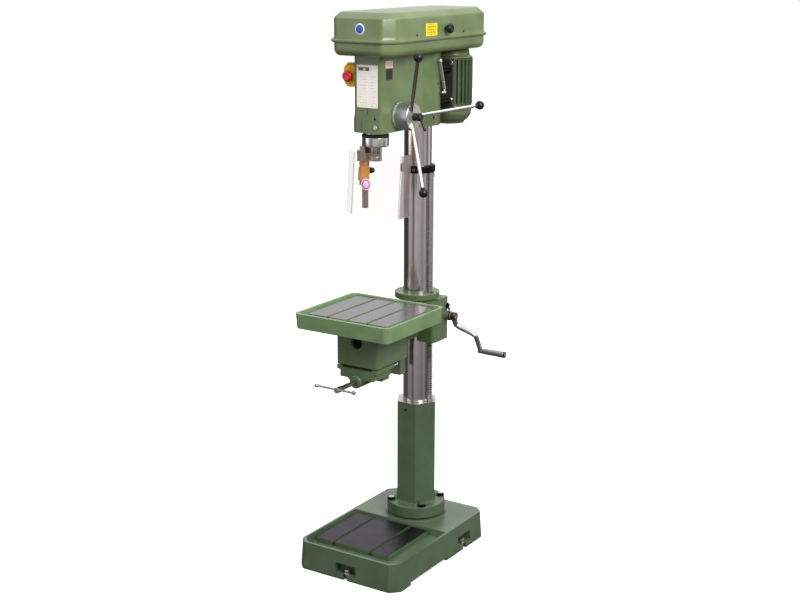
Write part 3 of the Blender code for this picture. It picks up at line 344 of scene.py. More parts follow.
COVER_PAINT = paint("cover_enamel", (0.136, 0.180, 0.072), 0.33, 0.05, 0.25, 0.8)
HEAD_PAINT = paint("head_enamel", (0.118, 0.166, 0.064), 0.34, 0.22)
TABLE_PAINT = paint("table_enamel", (0.154, 0.236, 0.106), 0.34, 0.25)
# The table's green made darker for the bracket and clamp block: partly painted shade for their place under
# the table.
BRACKET_SHADED_PAINT = paint("bracket_shaded_enamel", (0.084, 0.125, 0.054), 0.34, 0.25)
BASE_PAINT = paint("base_enamel", (0.062, 0.098, 0.050), 0.34, 0.25)
# A darker copy of the green enamel for the motor housing: partly painted shade for the motor sitting in
# shadow under the belt cover.
MOTOR_SHADED_PAINT = paint("motor_shaded_enamel", (0.050, 0.072, 0.030), 0.42, 0.35, 0.6)
# Near-black green for the motor mount plate: painted shade for the dark gap between the head and the motor.
MOUNT_SHADE_PAINT = paint("mount_shade_enamel", (0.022, 0.028, 0.016), 0.45, 0.3, 0.5)
MOTOR_TOP_PAINT = paint("motor_top_enamel", (0.13, 0.16, 0.065), 0.42, 0.3)
TABLE_IRON = metal(
    "planed_iron", (0.25, 0.232, 0.25), 0.30, (0.15, 6, 1), 260.0, 0.10, 0.10, 0.08, (0.16, 0.145, 0.16),
)
BASE_IRON = metal(
    "oiled_iron", (0.038, 0.033, 0.045), 0.38, (0.15, 6, 1), 240.0, 0.16, 0.12, 0.2, (0.028, 0.025, 0.032),
)
BARE_IRON = metal("bare_iron", (0.56, 0.52, 0.50), 0.33, (1, 1, 8), 300.0, 0.12, 0.08, 0.2)
COLUMN_STEEL = metal(
    "column_steel", (0.68, 0.61, 0.61), 0.15, (6, 6, 0.4), 160.0, 0.05, 0.03, 0.12, (0.40, 0.35, 0.32),
)
RACK_STEEL = metal(
    "rack_steel", (0.52, 0.49, 0.47), 0.26, (1, 8, 1), 300.0, 0.12, 0.06, 0.35, (0.20, 0.17, 0.15),
)
GROUND_STEEL = metal("ground_steel", (0.60, 0.56, 0.56), 0.22, (1, 1, 10), 320.0, 0.10, 0.05)
CHROME = metal("chrome_plate", (0.72, 0.69, 0.69), 0.22, (1, 1, 1), 90.0, 0.02, 0.01)
FORGED = metal("forged_steel", (0.55, 0.53, 0.57), 0.30, (1, 1, 1), 140.0, 0.08, 0.10, 0.2)
TURNED_ALLOY = metal("turned_alloy", (0.60, 0.58, 0.67), 0.36, (14, 1, 1), 240.0, 0.12, 0.10)
FACED_ALLOY = metal(
    "faced_alloy", (0.82, 0.80, 0.74), 0.50, (1, 1, 1), 420.0, 0.22, 0.30, 0.35, (0.45, 0.42, 0.36),
)
PULLEY_ALLOY = metal("pulley_alloy", (0.55, 0.55, 0.56), 0.30, (1, 1, 14), 240.0, 0.12, 0.08)
DULL_ALLOY = metal("dull_alloy", (0.38, 0.35, 0.35), 0.42, (1, 1, 1), 220.0, 0.12, 0.15)
BLACK_OXIDE = metal(
    "black_oxide", (0.018, 0.014, 0.013), 0.40, (1, 1, 1), 260.0, 0.2, 0.10, 0.3, (0.04, 0.033, 0.03),
)
BLACK = plastic("black_moulding", (0.008, 0.008, 0.009), 0.24, 0.04, 700.0, 0.05)
BLACK_MATT = plastic("black_matt", (0.018, 0.018, 0.019), 0.50, 0.25)
RUBBER = plastic("rubber", (0.014, 0.014, 0.014), 0.62, 0.3)
YELLOW = plastic("yellow_moulding", (0.92, 0.50, 0.006), 0.44, 0.1)
RED = plastic("red_moulding", (0.66, 0.008, 0.022), 0.30, 0.06, 700.0, 0.3)
GREEN_BUTTON = plastic("green_button", (0.01, 0.26, 0.05), 0.28, 0.06)
ORANGE = plastic("orange_moulding", (0.84, 0.30, 0.025), 0.48, 0.12)
# A dull copy of the bright handle metal, given to the first feed handle: painted shade for its darker
# reflection.
HANDLE_SHADED = metal("handle_shaded", (0.36, 0.34, 0.36), 0.26, (1, 1, 6), 200.0, 0.10, 0.05)
HANDLE_BRIGHT = metal("handle_bright", (0.92, 0.90, 0.88), 0.22, (1, 1, 6), 200.0, 0.03, 0.03)
MOTOR_BELL_PAINT = paint("motor_bell_enamel", (0.098, 0.130, 0.060), 0.36, 0.2)
RUSTY = metal(
    "brown_oxide", (0.16, 0.085, 0.055), 0.45, (1, 1, 1), 200.0, 0.2, 0.15, 0.4, (0.30, 0.17, 0.10)
)
SHEET = clear_sheet("clear_sheet", 0.20, (0.36, 0.24, 0.15), patch=True)
SHEET_EDGE = clear_sheet("clear_sheet_edge", 0.62, (0.26, 0.20, 0.20))
PLATE = printed_plate("data_plate")
DIAL_AXIS_Y = -0.195
DIAL_AXIS_Z = 1.494
DIAL = dial_marks("dial_ring", DIAL_AXIS_Y, DIAL_AXIS_Z)


# ================================================================ mesh helpers
def to_mesh(name, bm):
    bmesh.ops.remove_doubles(bm, verts=bm.verts, dist=1e-6)
    bmesh.ops.recalc_face_normals(bm, faces=bm.faces)
    mesh = bpy.data.meshes.new(name)
    bm.to_mesh(mesh)
    bm.free()
    return mesh


def turned(name, profile, steps=FINE):
    bm = bmesh.new()
    verts = [bm.verts.new((radius, 0, height)) for radius, height in profile]
    on_axis = profile[0][0] == 0 and profile[-1][0] == 0
    pairs = zip(verts, verts[1:] + ([] if on_axis else verts[:1]))
    edges = [bm.edges.new(pair) for pair in pairs]
    bmesh.ops.spin(
        bm, geom=verts + edges, cent=(0, 0, 0), axis=(0, 0, 1), angle=TAU, steps=steps, use_merge=True,
    )
    return to_mesh(name, bm)


def soft_profile(points, radius, steps=3):
    """Rounds the inner corners of an open (radius, height) profile."""
    made = [points[0]]
    for before, corner, after in zip(points, points[1:], points[2:]):
        a = Vector((*before, 0)) - Vector((*corner, 0))
        b = Vector((*after, 0)) - Vector((*corner, 0))
        reach = min(radius, a.length * 0.45, b.length * 0.45)
        start = Vector((*corner, 0)) + a.normalized() * reach
        end = Vector((*corner, 0)) + b.normalized() * reach
        for step in range(steps + 1):
            t = step / steps
            p = start.lerp(Vector((*corner, 0)), t).lerp(Vector((*corner, 0)).lerp(end, t), t)
            made.append((p.x, p.y))
    made.append(points[-1])
    return made


def ring(name, inner, outer, low, high, steps=FINE, edge=0.0008):
    return turned(name, [
        (inner, low + edge), (inner + edge, low), (outer - edge, low), (outer, low + edge),
        (outer, high - edge), (outer - edge, high), (inner + edge, high), (inner, high - edge),
    ], steps)


def rod(name, radius, low, high, steps=SMALL, edge=0.0008):
    return turned(name, [
        (0, low), (radius - edge, low), (radius, low + edge), (radius, high - edge), (radius - edge, high),
        (0, high),
    ], steps)


def add_box(bm, low, high):
    corners = [
        bm.verts.new((x, y, z)) for z in (low[2], high[2]) for y in (low[1], high[1])
        for x in (low[0], high[0])
    ]
    for face in ((0, 2, 3, 1), (4, 5, 7, 6), (0, 1, 5, 4), (1, 3, 7, 5), (3, 2, 6, 7), (2, 0, 4, 6)):
        bm.faces.new([corners[index] for index in face])


def boxes(name, *spans):
    bm = bmesh.new()
    for low, high in spans:
        add_box(bm, low, high)
    return to_mesh(name, bm)


def loft(name, sections, caps=(True, True)):
    bm = bmesh.new()
    rows = [[bm.verts.new(point) for point in section] for section in sections]
    for lower, upper in zip(rows, rows[1:]):
        for index in range(len(lower)):
            after = (index + 1) % len(lower)
            bm.faces.new((lower[index], lower[after], upper[after], upper[index]))
    if caps[0]:
        bm.faces.new(reversed(rows[0]))
    if caps[1]:
        bm.faces.new(rows[-1])
    return to_mesh(name, bm)


def at_height(outline, height):
    return [(x, y, height) for x, y in outline]


def prism(name, outline, low, high):
    return loft(name, [at_height(outline, low), at_height(outline, high)])


def swept(name, outline, low, high, axis="y"):
    """A prism of an outline along X (outline in y, z) or along Y (outline in x, z)."""
    rows = []
    for place in (low, high):
        rows.append([(place, a, b) if axis == "x" else (a, place, b) for a, b in outline])
    return loft(name, rows)


def rounded(points, radius, steps=4):
    """The polygon with each corner rounded by a quadratic arc."""
    made = []
    count = len(points)
    for index in range(count):
        corner = Vector(points[index])
        a = Vector(points[index - 1]) - corner
        b = Vector(points[(index + 1) % count]) - corner
        r = radius[index] if isinstance(radius, (list, tuple)) else radius
        reach = min(r, a.length * 0.48, b.length * 0.48)
        start = corner + a.normalized() * reach
        end = corner + b.normalized() * reach
        for step in range(steps + 1):
            t = step / steps
            p = start.lerp(corner, t).lerp(corner.lerp(end, t), t)
            made.append((p.x, p.y))
    return made


def rounded_rectangle(left, right, front, rear, radius, steps=6):
    outline = []
    corners = (
        (left + radius, front + radius, 180), (right - radius, front + radius, 270),
        (right - radius, rear - radius, 0), (left + radius, rear - radius, 90),
    )
    for x, y, start in corners:
        for step in range(steps + 1):
            angle = math.radians(start + 90 * step / steps)
            outline.append((x + radius * math.cos(angle), y + radius * math.sin(angle)))
    return outline


def chamfered_rectangle(half_width, front, rear, chamfer_x, chamfer_y, grow=0.0):
    length = math.hypot(chamfer_x, chamfer_y)
    wide = half_width + grow
    low = front - grow
    high = rear + grow
    cut_x = chamfer_x + grow - grow * (length - chamfer_x) / chamfer_y
    cut_y = chamfer_y + grow - grow * (length - chamfer_y) / chamfer_x
    return [
        (-wide + cut_x, low), (wide - cut_x, low), (wide, low + cut_y), (wide, high - cut_y),
        (wide - cut_x, high), (-wide + cut_x, high), (-wide, high - cut_y), (-wide, low + cut_y),
    ]


def hexagon(radius, start_degrees=0.0):
    angles = [math.radians(start_degrees + 60 * corner) for corner in range(6)]
    return [(radius * math.cos(a), radius * math.sin(a)) for a in angles]


def smooth_path(points, steps=8):
    """A Catmull-Rom curve through the points."""
    made = []
    ends = [points[0]] + list(points) + [points[-1]]
    for a, b, c, d in zip(ends, ends[1:], ends[2:], ends[3:]):
        a, b, c, d = Vector(a), Vector(b), Vector(c), Vector(d)
        for step in range(steps):
            t = step / steps
            made.append(
                0.5 * (
                    2 * b + (c - a) * t + (
                        2 * a - 5 * b + 4 * c - d
                    ) * t * t + (3 * b - a - 3 * c + d) * t ** 3
                ),
            )
    made.append(Vector(points[-1]))
    return made


def tube(name, points, radius, steps=20, round_ends=True):
    """A round bar along the points. The radius may be a function of the share of its length."""
    reach = radius if callable(radius) else (lambda share: radius)
    spine = [Vector(p) for p in points]
    rows = []
    side = Vector((0.31, 0.29, 0.9)).normalized()
    for index, point in enumerate(spine):
        ahead = (spine[min(index + 1, len(spine) - 1)] - spine[max(index - 1, 0)]).normalized()
        side = (side - ahead * side.dot(ahead)).normalized()
        across = ahead.cross(side)
        r = reach(index / (len(spine) - 1))
        sizes = [(0.0, r)]
        if round_ends and index == 0:
            sizes = [(-r, r * 0.05), (-0.85 * r, r * 0.52), (-0.5 * r, r * 0.87), (0.0, r)]
        if round_ends and index == len(spine) - 1:
            sizes = [(0.0, r), (0.5 * r, r * 0.87), (0.85 * r, r * 0.52), (r, r * 0.05)]
        for shift, size in sizes:
            centre = point + ahead * shift
            rows.append(
                [
                    centre + size * (
                        math.cos(TAU * k / steps) * side + math.sin(TAU * k / steps) * across
                    ) for k in range(steps)
                ],
            )
    return loft(name, rows)


def make(name, mesh, finish, at=(0, 0, 0), turn=(0, 0, 0)):
    """An object in world coordinates: its place and turn are baked into its mesh."""
    mesh.transform(Matrix.Translation(at) @ matrix_of(turn))
    mesh.name = name
    piece = bpy.data.objects.new(name, mesh)
    bpy.context.scene.collection.objects.link(piece)
    for one in finish if isinstance(finish, (list, tuple)) else (finish,):
        mesh.materials.append(one)
    return piece


def matrix_of(turn):
    if len(turn) == 4:
        return turn.to_matrix().to_4x4()
    return Matrix.Rotation(
        turn[2], 4, "Z",
    ) @ Matrix.Rotation(turn[1], 4, "Y") @ Matrix.Rotation(turn[0], 4, "X")


def boolean(piece, mesh, operation="DIFFERENCE", at=(0, 0, 0), turn=(0, 0, 0)):
    """Cuts or joins at once, leaving a plain mesh."""
    mesh.transform(Matrix.Translation(at) @ matrix_of(turn))
    helper = bpy.data.objects.new("helper", mesh)
    bpy.context.scene.collection.objects.link(helper)
    step = piece.modifiers.new("step", "BOOLEAN")
    step.operation = operation
    step.solver = "EXACT"
    step.object = helper
    bpy.context.view_layer.update()
    graph = bpy.context.evaluated_depsgraph_get()
    made = bpy.data.meshes.new_from_object(piece.evaluated_get(graph))
    piece.modifiers.remove(step)
    old = piece.data
    finishes = list(old.materials)
    piece.data = made
    made.materials.clear()
    for one in finishes:
        made.materials.append(one)
    bpy.data.objects.remove(helper)
    bpy.data.meshes.remove(old)
    bpy.data.meshes.remove(mesh)


def tidy(piece):
    """Dissolves the flat triangles a Boolean leaves, so that bevels run clean."""
    bm = bmesh.new()
    bm.from_mesh(piece.data)
    bmesh.ops.remove_doubles(bm, verts=bm.verts, dist=2e-5)
    bmesh.ops.dissolve_limit(bm, angle_limit=math.radians(1.0), verts=bm.verts, edges=bm.edges)
    bm.to_mesh(piece.data)
    bm.free()


def soften(piece, width, segments=3, angle=32):
    """Rounded edges, with the flats' shading kept flat."""
    piece.data.shade_smooth()
    edge = piece.modifiers.new("edges", "BEVEL")
    edge.width = width
    edge.segments = segments
    edge.limit_method = "ANGLE"
    edge.angle_limit = math.radians(angle)
    edge.use_clamp_overlap = True
    edge.miter_outer = "MITER_ARC"
    shade = piece.modifiers.new("shade", "WEIGHTED_NORMAL")
    shade.keep_sharp = True
    shade.weight = 60
    return piece


def smooth(piece, angle=38):
    piece.data.shade_smooth()
    piece.data.set_sharp_from_angle(angle=math.radians(angle))
    return piece


def by_height(piece, level, index=1, tolerance=0.0006):
    """Gives the second material to level faces at one height."""
    for face in piece.data.polygons:
        if abs(face.normal.z) > 0.98 and abs(face.center.z - level) < tolerance:
            face.material_index = index


def show(piece, *nodes, body=None):
    """The piece stands for these CAD nodes and moves with their body."""
    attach(piece, body or NODE_BODY[nodes[0]])
    if nodes:
        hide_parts(*nodes)
    return piece


def extra(piece, body):
    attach(piece, body)
    return piece


def dress(node, finish, width=0.0, segments=2):
    """A CAD node that stays: it gets a finish and small rounded edges."""
    piece = frame["nodes"][node]
    piece.data.materials.clear()
    piece.data.materials.append(finish)
    for face in piece.data.polygons:
        face.material_index = 0
    if width:
        edge = piece.modifiers.new("edges", "BEVEL")
        edge.width = width
        edge.segments = segments
        edge.limit_method = "ANGLE"
        edge.angle_limit = math.radians(40)
    return piece


# ================================================================ places taken from the frame
X, Y, Z = 0, 1, 2


def low(node, axis):
    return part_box(node)[0][axis]


def high(node, axis):
    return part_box(node)[1][axis]


def middle(node):
    return (Vector(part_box(node)[0]) + Vector(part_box(node)[1])) / 2


def half(node, axis):
    return (high(node, axis) - low(node, axis)) / 2


COLUMN_R = half("column_tube", X)
SPINDLE_Y = middle("spindle").y
FEED = Vector((high("head_casting", X), middle("feed_dial").y, middle("feed_dial").z))
MOTOR_Y = middle("motor_shaft").y
COVER = {
    "half_w": 0.116,
    "front": -0.348,
    "rear": 0.264,
    "lip": 0.009,
    "split": low("cover_lid", Z),
}
LEVER_Z = 1.653
SLIDE_ROD_X = 0.058
SLIDE_ROD_HEIGHTS = (1.515, 1.615)
SLIDE_ROD_R = 0.007
SLIDE_ROD_PLACES = [(side * SLIDE_ROD_X, height) for height in SLIDE_ROD_HEIGHTS for side in (-1, 1)]
COVER_DISC_X = 0.009
COVER_DISC_Z = 1.7656
COVER_DISC_R = 0.0170
COVER_SCREW_Z = 1.7435
FLAP_AXIS = (0, -0.2665, 1.6535)


# ================================================================ stand
def t_slot_strips(edges, floor, top, front, rear, slot_w):
    """Machined strips between T-slots. Inner sides are undercut for the T."""
    undercut = 0.4 * slot_w
    depth = top - floor
    made = []
    for index in range(len(edges) - 1):
        left = edges[index] + (slot_w / 2 if index else 0)
        right = edges[index + 1] - (slot_w / 2 if index < len(edges) - 2 else 0)
        shape = [(left, floor - 0.002), (right, floor - 0.002)]
        if index < len(edges) - 2:
            shape += [(right, floor + 0.1 * depth), (right - undercut, floor + 0.1 * depth)]
            shape += [(right - undercut, floor + 0.5 * depth), (right, floor + 0.5 * depth)]
        shape += [(right, top), (left, top)]
        if index:
            shape += [(left, floor + 0.5 * depth), (left + undercut, floor + 0.5 * depth)]
            shape += [(left + undercut, floor + 0.1 * depth), (left, floor + 0.1 * depth)]
        made.append(swept("strip", shape, front, rear))
    return made


def make_base():
    half_w = high("base_casting", X)
    front = low("base_casting", Y)
    rear = high("base_casting", Y)
    boss_top = high("base_casting", Z)
    top = boss_top - 0.006
    floor = top - 0.022
    strip_top = top - 0.006
    chamfer = 0.029
    taper = 0.006
    tray_rear = -0.105
    strip_front = -0.362

    def outline(grow):
        return rounded(chamfered_rectangle(half_w, front, rear, chamfer, chamfer, grow), 0.005, 3)

    body = make(
        "base", loft("base", [at_height(outline(0), 0), at_height(outline(-taper), top)]),
        [BASE_PAINT, BASE_IRON],
    )
    boss_r = 0.104
    boss = turned(
        "boss",
        [
            (0, top - 0.010), (boss_r + 0.004, top - 0.010), (boss_r + 0.004, top),
            (boss_r + 0.0012, top + 0.0012), (boss_r, top + 0.0035), (boss_r, boss_top), (0, boss_top),
        ],
    )
    boolean(body, boss, "UNION")
    inset = taper + 0.008
    tray = []
    for lean, height in ((0.004, floor), (0.0, top + 0.0015)):
        wide = half_w - inset - lean
        fore = front + inset + lean
        cut = 0.026
        corners = [
            (-wide + cut, fore), (wide - cut, fore), (wide, fore + cut), (wide, tray_rear - lean),
            (-wide, tray_rear - lean), (-wide, fore + cut),
        ]
        tray.append(at_height(rounded(corners, [0.008, 0.008, 0.008, 0.004, 0.004, 0.008], 4), height))
    boolean(body, loft("tray", tray))
    for strip in t_slot_strips(
        (-0.165, -0.094, 0.0515, 0.120), floor, strip_top, strip_front, tray_rear - 0.010, 0.0105,
    ):
        boolean(body, strip, "UNION")
    cavities = [
        ((-0.150, -0.390, -0.01), (-0.006, -0.115, 0.056)), ((0.006, -0.390, -0.01), (0.150, -0.115, 0.056)),
    ]
    for low_x, high_x in ((-0.158, -0.010), (0.010, 0.158)):
        for low_y, high_y in ((-0.103, -0.012), (0.012, 0.130)):
            cavities.append(((low_x, low_y, -0.01), (high_x, high_y, 0.080)))
    boolean(body, boxes("cavities", *cavities))
    pocket_w, pocket_d, shelf, pocket_top, slot_w = 0.040, 0.028, 0.020, 0.054, 0.009
    pockets = [
        (
            ((-pocket_w, front - 0.01, shelf), (pocket_w, front + pocket_d, pocket_top)),
            ((-slot_w, front - 0.01, -0.01), (slot_w, front + pocket_d, shelf + 0.001)),
        ),
    ]
    for side in (-1, 1):
        spans = sorted((side * (half_w + 0.01), side * (half_w - pocket_d)))
        pockets.append(
            (
                ((spans[0], -pocket_w, shelf), (spans[1], pocket_w, pocket_top)),
                ((spans[0], -slot_w, -0.01), (spans[1], slot_w, shelf + 0.001)),
            ),
        )
    for pocket, slot in pockets:
        boolean(body, boxes("pocket", pocket))
        boolean(body, boxes("slot", slot))
    arches = [
        ((side * half_w - 0.060, -0.345, -0.01), (side * half_w + 0.060, -0.120, 0.011)) for side in (-1, 1)
    ]
    boolean(body, boxes("arches", *arches))
    tidy(body)
    by_height(body, strip_top)
    soften(body, 0.0020)
    show(body, "base_casting")


def hex_bolt(name, radius, bottom, top, at, finish, washer_r=0.0, shank_r=0.0, shank_low=0.0, turn=10):
    """Hexagon head with a chamfered crown, and if wanted a washer and a shank below it."""
    outline = hexagon(radius, turn)
    inner = hexagon(radius * 0.86, turn)
    head_low = bottom + (0.0022 if washer_r else 0)
    mesh = loft(name, [at_height(outline, head_low), at_height(outline, top - 0.0014), at_height(inner, top)])
    piece = make(name, mesh, finish, at)
    boolean(
        piece,
        turned(
            "crown",
            [
                (0, head_low), (radius * 0.99, head_low), (radius * 0.99, top - 0.0016),
                (radius * 0.80, top + 0.0002), (0, top + 0.0002),
            ],
            MEDIUM,
        ),
        "INTERSECT", at,
    )
    if washer_r:
        boolean(piece, rod("washer", washer_r, bottom, head_low + 0.0002, MEDIUM, 0.0005), "UNION", at)
    if shank_r:
        boolean(piece, rod("shank", shank_r, shank_low, bottom + 0.001, SMALL, 0.0005), "UNION", at)
    return soften(piece, 0.0004, 2, 30)


def make_stand_bolts():
    for number in range(4):
        node = f"pedestal_bolt_{number + 1}"
        at = middle(node)
        top = high(node, Z) + 0.001
        bolt = hex_bolt(
            f"flange_bolt_{number + 1}", 0.0122, low(node, Z), top, (at.x, at.y, 0), [BLACK_OXIDE, BARE_IRON],
            0.0148, turn=15 + 22 * number,
        )
        by_height(bolt, top)
        show(bolt, node)
    for side in ("front", "left", "right"):
        node = f"levelling_screw_{side}"
        at = middle(node)
        shelf = 0.0203
        screw = hex_bolt(
            f"foot_screw_{side}", 0.0105, shelf, high(node, Z) + 0.002, (at.x, at.y, 0), BARE_IRON, 0.0125,
            0.006, low(node, Z), 12,
        )
        show(screw, node)


def make_pedestal():
    bottom = low("pedestal", Z)
    top = high("pedestal", Z)
    flange_r = high("pedestal", Y)
    flange_top = 0.145
    tube_r = 0.0736
    flange = soft_profile([
        (0, bottom), (flange_r - 0.004, bottom), (flange_r, bottom + 0.006), (flange_r, flange_top - 0.001),
        (flange_r - 0.008, flange_top), (0, flange_top),
    ], 0.004)
    body = make("pedestal_post", turned("pedestal", flange), [BASE_PAINT, BARE_IRON])
    outline = rounded(hexagon(tube_r), 0.0035, 4)
    weld = rounded(hexagon(tube_r + 0.0075), 0.006, 4)
    mid = rounded(hexagon(tube_r + 0.0022), 0.004, 4)
    tube_sections = [
        at_height(weld, flange_top - 0.004), at_height(weld, flange_top + 0.0004),
        at_height(mid, flange_top + 0.0025), at_height(outline, flange_top + 0.0085),
        at_height(outline, top),
    ]
    boolean(body, loft("hexagon_tube", tube_sections), "UNION")
    boolean(body, rod("bore", COLUMN_R + GAP, bottom - 0.02, top + 0.02, FINE, 0), at=(0, 0, 0))
    face_y = -tube_r * math.cos(math.pi / 6)
    boolean(
        body, rod("set_screw_hole", 0.0042, -0.01, 0.006, SMALL, 0), at=(-0.004, face_y, top - 0.026),
        turn=ALONG_FRONT,
    )
    tidy(body)
    by_height(body, top, 1)
    soften(body, 0.0010, 2, 40)
    show(body, "pedestal")
    screw = make(
        "pedestal_set_screw", socket_screw(0.0040, 0.005), BLACK_OXIDE,
        (-0.004, face_y + 0.0055, top - 0.026), ALONG_FRONT,
    )
    extra(smooth(screw), "stand")


def socket_screw(radius, length):
    """A set screw with a hexagon socket, its face at z = length."""
    mesh = turned(
        "socket_screw",
        [
            (0, 0), (radius, 0), (radius, length - 0.0008), (radius * 0.85, length),
            (radius * 0.62, length), (radius * 0.62, length - 0.003), (0, length - 0.003),
        ],
        SMALL,
    )
    return mesh


def make_column():
    bottom = low("column_tube", Z)
    top = high("column_tube", Z)
    tube_mesh = ring("column", COLUMN_R - 0.008, COLUMN_R, bottom, top, 128)
    show(smooth(make("column", tube_mesh, COLUMN_STEEL)), "column_tube")
    collar_low = low("rack_collar", Z)
    collar_high = high("rack_collar", Z)
    collar_r = high("rack_collar", X)
    profile = soft_profile([
        (COLUMN_R + GAP, collar_low), (collar_r - 0.0015, collar_low), (collar_r, collar_low + 0.0015),
        (collar_r, collar_high - 0.0025), (collar_r - 0.0025, collar_high), (COLUMN_R + GAP, collar_high),
    ], 0.0008)
    collar = make("stop_collar", turned("collar", profile), BLACK_OXIDE)
    show(smooth(collar), "rack_collar")
    screw_z = (collar_low + collar_high) / 2
    angle = math.radians(-72)
    direction = Vector((math.cos(angle), math.sin(angle), 0))
    screw = make(
        "collar_screw", socket_screw(0.0045, 0.006), BARE_IRON,
        Vector((0, 0, screw_z)) + direction * (collar_r - 0.0045), direction.to_track_quat("Z", "Y"),
    )
    extra(smooth(screw), "stand")


# ================================================================ head
def head_outline(half_w, front, sleeve_r, fillet, corner=0.010):
    """Straight nose, concave fillets, then the round sleeve about the column."""
    centre_x = half_w + fillet
    centre_y = -math.sqrt((sleeve_r + fillet) ** 2 - centre_x ** 2)
    right = []
    for step in range(7):
        angle = math.radians(-90 + 90 * step / 6)
        right.append((half_w - corner + corner * math.cos(angle), front + corner + corner * math.sin(angle)))
    meet = math.atan2(-centre_y, -centre_x)
    for step in range(9):
        angle = math.pi + (meet - math.pi) * step / 8
        right.append((centre_x + fillet * math.cos(angle), centre_y + fillet * math.sin(angle)))
    start = math.atan2(centre_y, centre_x)
    arc = []
    steps = 60
    for step in range(1, steps):
        angle = start + (math.pi - 2 * start) * step / steps
        arc.append((sleeve_r * math.cos(angle), sleeve_r * math.sin(angle)))
    left = [(-x, y) for x, y in reversed(right)]
    return right + arc + left


def make_head():
    half_w = 0.052
    front = low("head_casting", Y)
    bottom = low("head_casting", Z)
    top = high("head_casting", Z)
    sleeve_r = high("head_casting", X)
    quill_r = high("quill", X)
    body = make("head", prism("head", head_outline(half_w, front, sleeve_r, 0.040), bottom, top), HEAD_PAINT)
    pad_left = -0.016
    pad_top = bottom + 0.055
    pad_outline = rounded(
        [
            (pad_left, bottom + 0.001), (half_w - 0.004, bottom + 0.001), (half_w - 0.004, pad_top),
            (pad_left, pad_top),
        ],
        [0.003, 0.003, 0.003, 0.016], 6,
    )
    boolean(body, swept("clamp_pad", pad_outline, front - 0.0045, front + 0.004), "UNION")
    flare = [
        (-half_w - 0.0035, bottom + 0.040), (-half_w + 0.004, bottom + 0.080),
        (-half_w + 0.004, bottom + 0.001), (-half_w - 0.0030, bottom + 0.001),
    ]
    boolean(body, swept("flare", flare, front + 0.006, -0.210), "UNION")
    slit_x = -0.001
    boolean(
        body,
        boxes(
            "slit",
            (
                (slit_x - 0.0011, front - 0.02, pad_top + 0.001),
                (slit_x + 0.0011, front + 0.012, pad_top + 0.0235),
            ),
        ),
    )
    boolean(
        body,
        boxes(
            "pad_slit",
            (
                (pad_left - 0.0022, front - 0.003, bottom - 0.01),
                (pad_left - 0.0001, front + 0.012, pad_top - 0.012),
            ),
        ),
    )
    boolean(
        body, rod("clamp_hole", 0.0045, -0.02, 0.012, SMALL, 0), at=(0.030, front, bottom + 0.046),
        turn=ALONG_FRONT,
    )
    boolean(body, rod("quill_bore", quill_r + GAP, bottom - 0.05, top + 0.05, FINE, 0), at=(0, SPINDLE_Y, 0))
    boolean(body, rod("column_bore", COLUMN_R + GAP, bottom - 0.05, high("column_tube", Z) + GAP, FINE, 0))
    boolean(body, boxes("pocket", ((-0.040, -0.158, bottom + 0.015), (0.040, -0.062, top + 0.02))))
    boolean(
        body, rod("pinion_bore", half("feed_shaft", Y) + GAP, -0.032, 0.08, FINE, 0),
        at=(0, FEED.y, FEED.z), turn=ALONG_X,
    )
    boolean(body, rod("lever_bore", 0.0063, 0.050, 0.10, SMALL, 0), at=(0, 0, LEVER_Z), turn=ALONG_X)
    for side in (-1, 1):
        for height in SLIDE_ROD_HEIGHTS:
            boolean(
                body, rod("slide_bore", 0.0073, 0.012, 0.09, SMALL, 0), at=(side * SLIDE_ROD_X, 0, height),
                turn=ALONG_REAR,
            )
    for height, angle in ((1.578, 4), (1.472, -14)):
        direction = Vector((math.cos(math.radians(angle)), math.sin(math.radians(angle)), 0))
        boolean(
            body, rod("sleeve_screw_hole", 0.0042, -0.012, 0.01, SMALL, 0),
            at=Vector((0, 0, height)) + direction * sleeve_r, turn=direction.to_track_quat("Z", "Y"),
        )
    tidy(body)
    soften(body, 0.0022, 3, 34)
    show(body, "head_casting")
    for number, (height, angle) in enumerate(((1.578, 4), (1.472, -14))):
        direction = Vector((math.cos(math.radians(angle)), math.sin(math.radians(angle)), 0))
        screw = make(
            f"sleeve_screw_{number + 1}", socket_screw(0.0040, 0.005), BLACK_OXIDE,
            Vector((0, 0, height)) + direction * (sleeve_r - 0.0085), direction.to_track_quat("Z", "Y"),
        )
        extra(smooth(screw), "stand")
    clamp = hex_bolt("clamp_screw_head", 0.0058, 0.0, 0.0040, (0, 0, 0), BARE_IRON, 0.0070)
    clamp.data.transform(Matrix.Translation((0.032, front - 0.0044, bottom + 0.020)) @ matrix_of(ALONG_FRONT))
    extra(clamp, "stand")
    make_plate()
    make_side_labels(half_w, front)


def make_plate():
    lo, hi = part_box("nameplate")
    plate_outline = rounded([(lo[0], lo[2]), (hi[0], lo[2]), (hi[0], hi[2]), (lo[0], hi[2])], 0.003, 4)
    plate = make("plate", swept("plate", plate_outline, lo[1], hi[1] + 0.0002), PLATE)
    show(soften(plate, 0.0003, 2), "nameplate")
    for side_x in (lo[0] + 0.0045, hi[0] - 0.0045):
        for side_z in (lo[2] + 0.0045, hi[2] - 0.0045):
            rivet = turned(
                "rivet", [(0, 0), (0.0019, 0), (0.0017, 0.0006), (0.0010, 0.0011), (0, 0.0013)], SMALL,
            )
            number = f"{'a' if side_x < 0 else 'b'}{'1' if side_z < 1.6 else '2'}"
            extra(
                smooth(make(f"plate_rivet_{number}", rivet, BARE_IRON, (side_x, lo[1], side_z), ALONG_FRONT)),
                "stand",
            )


def flat_label(name, outline_yz, x, finish, body, thick=0.0006):
    label = make(name, swept(name, outline_yz, x - 0.0002, x + thick, "x"), finish)
    return extra(soften(label, 0.0002, 2), body)


def rectangle(left, right, bottom, top, radius):
    return rounded([(left, bottom), (right, bottom), (right, top), (left, top)], radius, 3)


